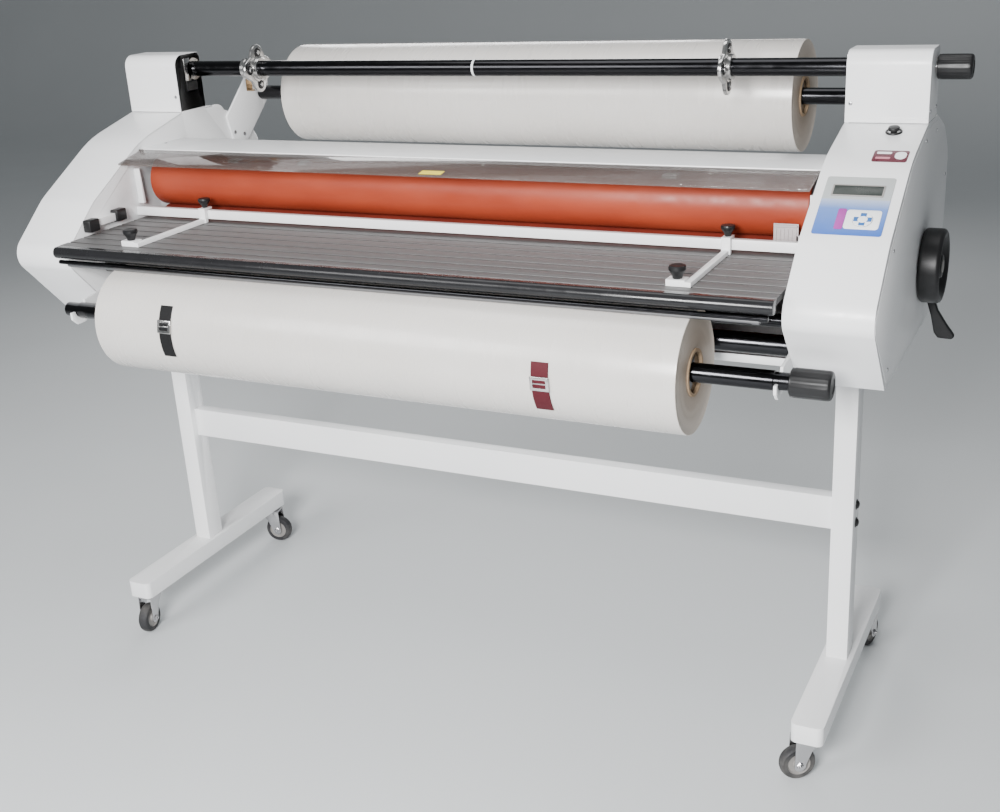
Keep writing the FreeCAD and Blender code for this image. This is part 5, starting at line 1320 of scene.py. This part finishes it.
# ------------------------------------------------------------------ the rest
def keep_cad_nodes():
    """Nodes whose shape is right keep it and take their finish."""
    for node, source in frame["nodes"].items():
        material = SLOT_FINISH[slot_of_node[node]]
        if source.material_slots:
            for place in source.material_slots:
                place.material = material
        else:
            source.data.materials.append(material)


def make_idlers():
    for node in ("web_idler_front", "web_idler_rear"):
        refined(node, 0.0010, 2, BAR_METAL, 40.0)


def make_inlet():
    low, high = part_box("power_inlet")
    centre = (low + high) / 2.0
    refined("power_inlet", 0.0010, 2)
    pins = []
    for y, z in ((-0.006, -0.002), (0.006, -0.002), (0.0, 0.003)):
        spot = Vector((low.x + 0.0015, centre.y + y, centre.z + z))
        pins.append(block("pin", spot + Vector((0.0, -0.001, -0.002)),
                          spot + Vector((0.0050, 0.001, 0.002)), 0.0004))
    fit(join("inlet_pins", *pins), "machine", BRASS)


# ------------------------------------------------------------------ light, floor, camera
def area_light(name, place, target, size, power, tint=(1.0, 1.0, 1.0)):
    lamp = bpy.data.lights.new(name, "AREA")
    lamp.shape = "RECTANGLE"
    lamp.size, lamp.size_y = size
    lamp.energy = power
    lamp.color = tint
    holder = bpy.data.objects.new(name, lamp)
    holder.location = place
    holder.rotation_mode = "QUATERNION"
    holder.rotation_quaternion = (Vector(target) - Vector(place)).to_track_quat("-Z", "Y")
    bpy.context.scene.collection.objects.link(holder)


def make_floor():
    """A wide pale floor that rises into a soft wall behind."""
    nothing_selected()
    sweep_radius, wall_deep, front, half_wide = 3.0, 9.0, -14.0, 16.0
    floor = one_point("studio_floor", (0.0, front, 0.0))
    line = [(0.0, front, 0.0), (0.0, wall_deep - sweep_radius, 0.0)]
    for n in range(1, 13):
        turn = math.radians(90.0 * n / 12)
        line.append((0.0, wall_deep - sweep_radius + sweep_radius * math.sin(turn),
                     sweep_radius - sweep_radius * math.cos(turn)))
    line.append((0.0, wall_deep, 12.0))
    draw_line(line)
    bpy.ops.mesh.select_all(action="SELECT")
    bpy.ops.transform.translate(value=(-half_wide, 0.0, 0.0))
    bpy.ops.mesh.extrude_region_move(TRANSFORM_OT_translate={
        "value": (half_wide * 2.0, 0.0, 0.0)})
    tidy_normals()
    leave_edit()
    smooth(floor)
    f = Finish("pale_floor", (0.62, 0.64, 0.65), 0.7)
    f.rough(f.spread(f.noise(3.0, 3.0), 0.62, 0.8))
    f.colour(f.blend(f.noise(0.8, 2.0), (0.60, 0.62, 0.63), (0.64, 0.66, 0.67)))
    paint(floor, f.material)
    world = bpy.data.worlds.new("studio_air")
    world.use_nodes = True
    air = world.node_tree.nodes["Background"]
    air.inputs["Color"].default_value = (0.80, 0.85, 0.88, 1.0)
    air.inputs["Strength"].default_value = 0.22
    bpy.context.scene.world = world


def make_lights():
    """The key stands near the eye, so the left end and the outer sides fall off to grey."""
    target = at(0.1, 0.0, 0.95)
    area_light("key_light", at(0.75, -3.3, 2.1), target, (1.0, 0.8), 250.0)
    area_light("left_fill", at(-1.8, -3.4, 2.6), target, (2.0, 1.4), 90.0)
    area_light("top_light", at(0.0, 0.2, 3.9), target, (3.0, 1.4), 45.0)
    area_light("back_light", at(-1.6, 3.4, 2.2), target, (2.2, 1.2), 45.0)


def make_camera():
    """The eye stands to the right of the middle, above the top bar."""
    yaw, pitch, roll = (math.radians(a) for a in (27.199, 21.023, -3.513))
    ahead = Vector((-math.sin(yaw) * math.cos(pitch), math.cos(yaw) * math.cos(pitch),
                    -math.sin(pitch)))
    level = Vector((math.cos(yaw), math.sin(yaw), 0.0))
    upright = level.cross(ahead)
    right = level * math.cos(roll) + upright * math.sin(roll)
    up = upright * math.cos(roll) - level * math.sin(roll)
    data = bpy.data.cameras.new("eye")
    data.lens = 46.532
    data.sensor_width = 36.0
    data.clip_start = 0.05
    data.clip_end = 60.0
    eye = bpy.data.objects.new("eye", data)
    turn = Matrix((right, up, -ahead)).transposed().to_4x4()
    eye.matrix_world = Matrix.Translation(at(1.3275, -2.4617, 1.6867)) @ turn
    bpy.context.scene.collection.objects.link(eye)
    bpy.context.scene.camera = eye


# ------------------------------------------------------------------ build
keep_cad_nodes()
make_stand()
make_bolts()
for corner in ("front_left", "front_right", "rear_left", "rear_right"):
    make_caster(corner)
make_housings()
make_top_bar()
make_chuck("left")
make_chuck("right")
make_roller("top", "top_roller", SILICONE)
# the lower roller takes the darker silicone copy, painted shade for its place under the top roller
make_roller("bottom", "bottom_roller", SILICONE_LOWER_PAINTED_SHADE)
make_film("supply", "supply_roll", SUPPLY_EDGE)
make_film("lower", "lower_roll", LOWER_EDGE)
make_strap("roll_strap_left", -0.458, 0.030, 56.0, 55.0, STRAP_BLACK, 22.0)
make_strap("roll_strap_right", 0.395, 0.034, 74.0, 50.0, STRAP_MAROON, 20.0)
make_roll_shafts()
make_table()
make_guides()
make_table_catch()
make_covers()
make_ribbed_bracket()
make_supply_arms()
make_panel()
make_badge()
make_stop_button()
make_handwheel()
make_lever()
make_idlers()
make_inlet()
make_floor()
make_lights()
make_camera()
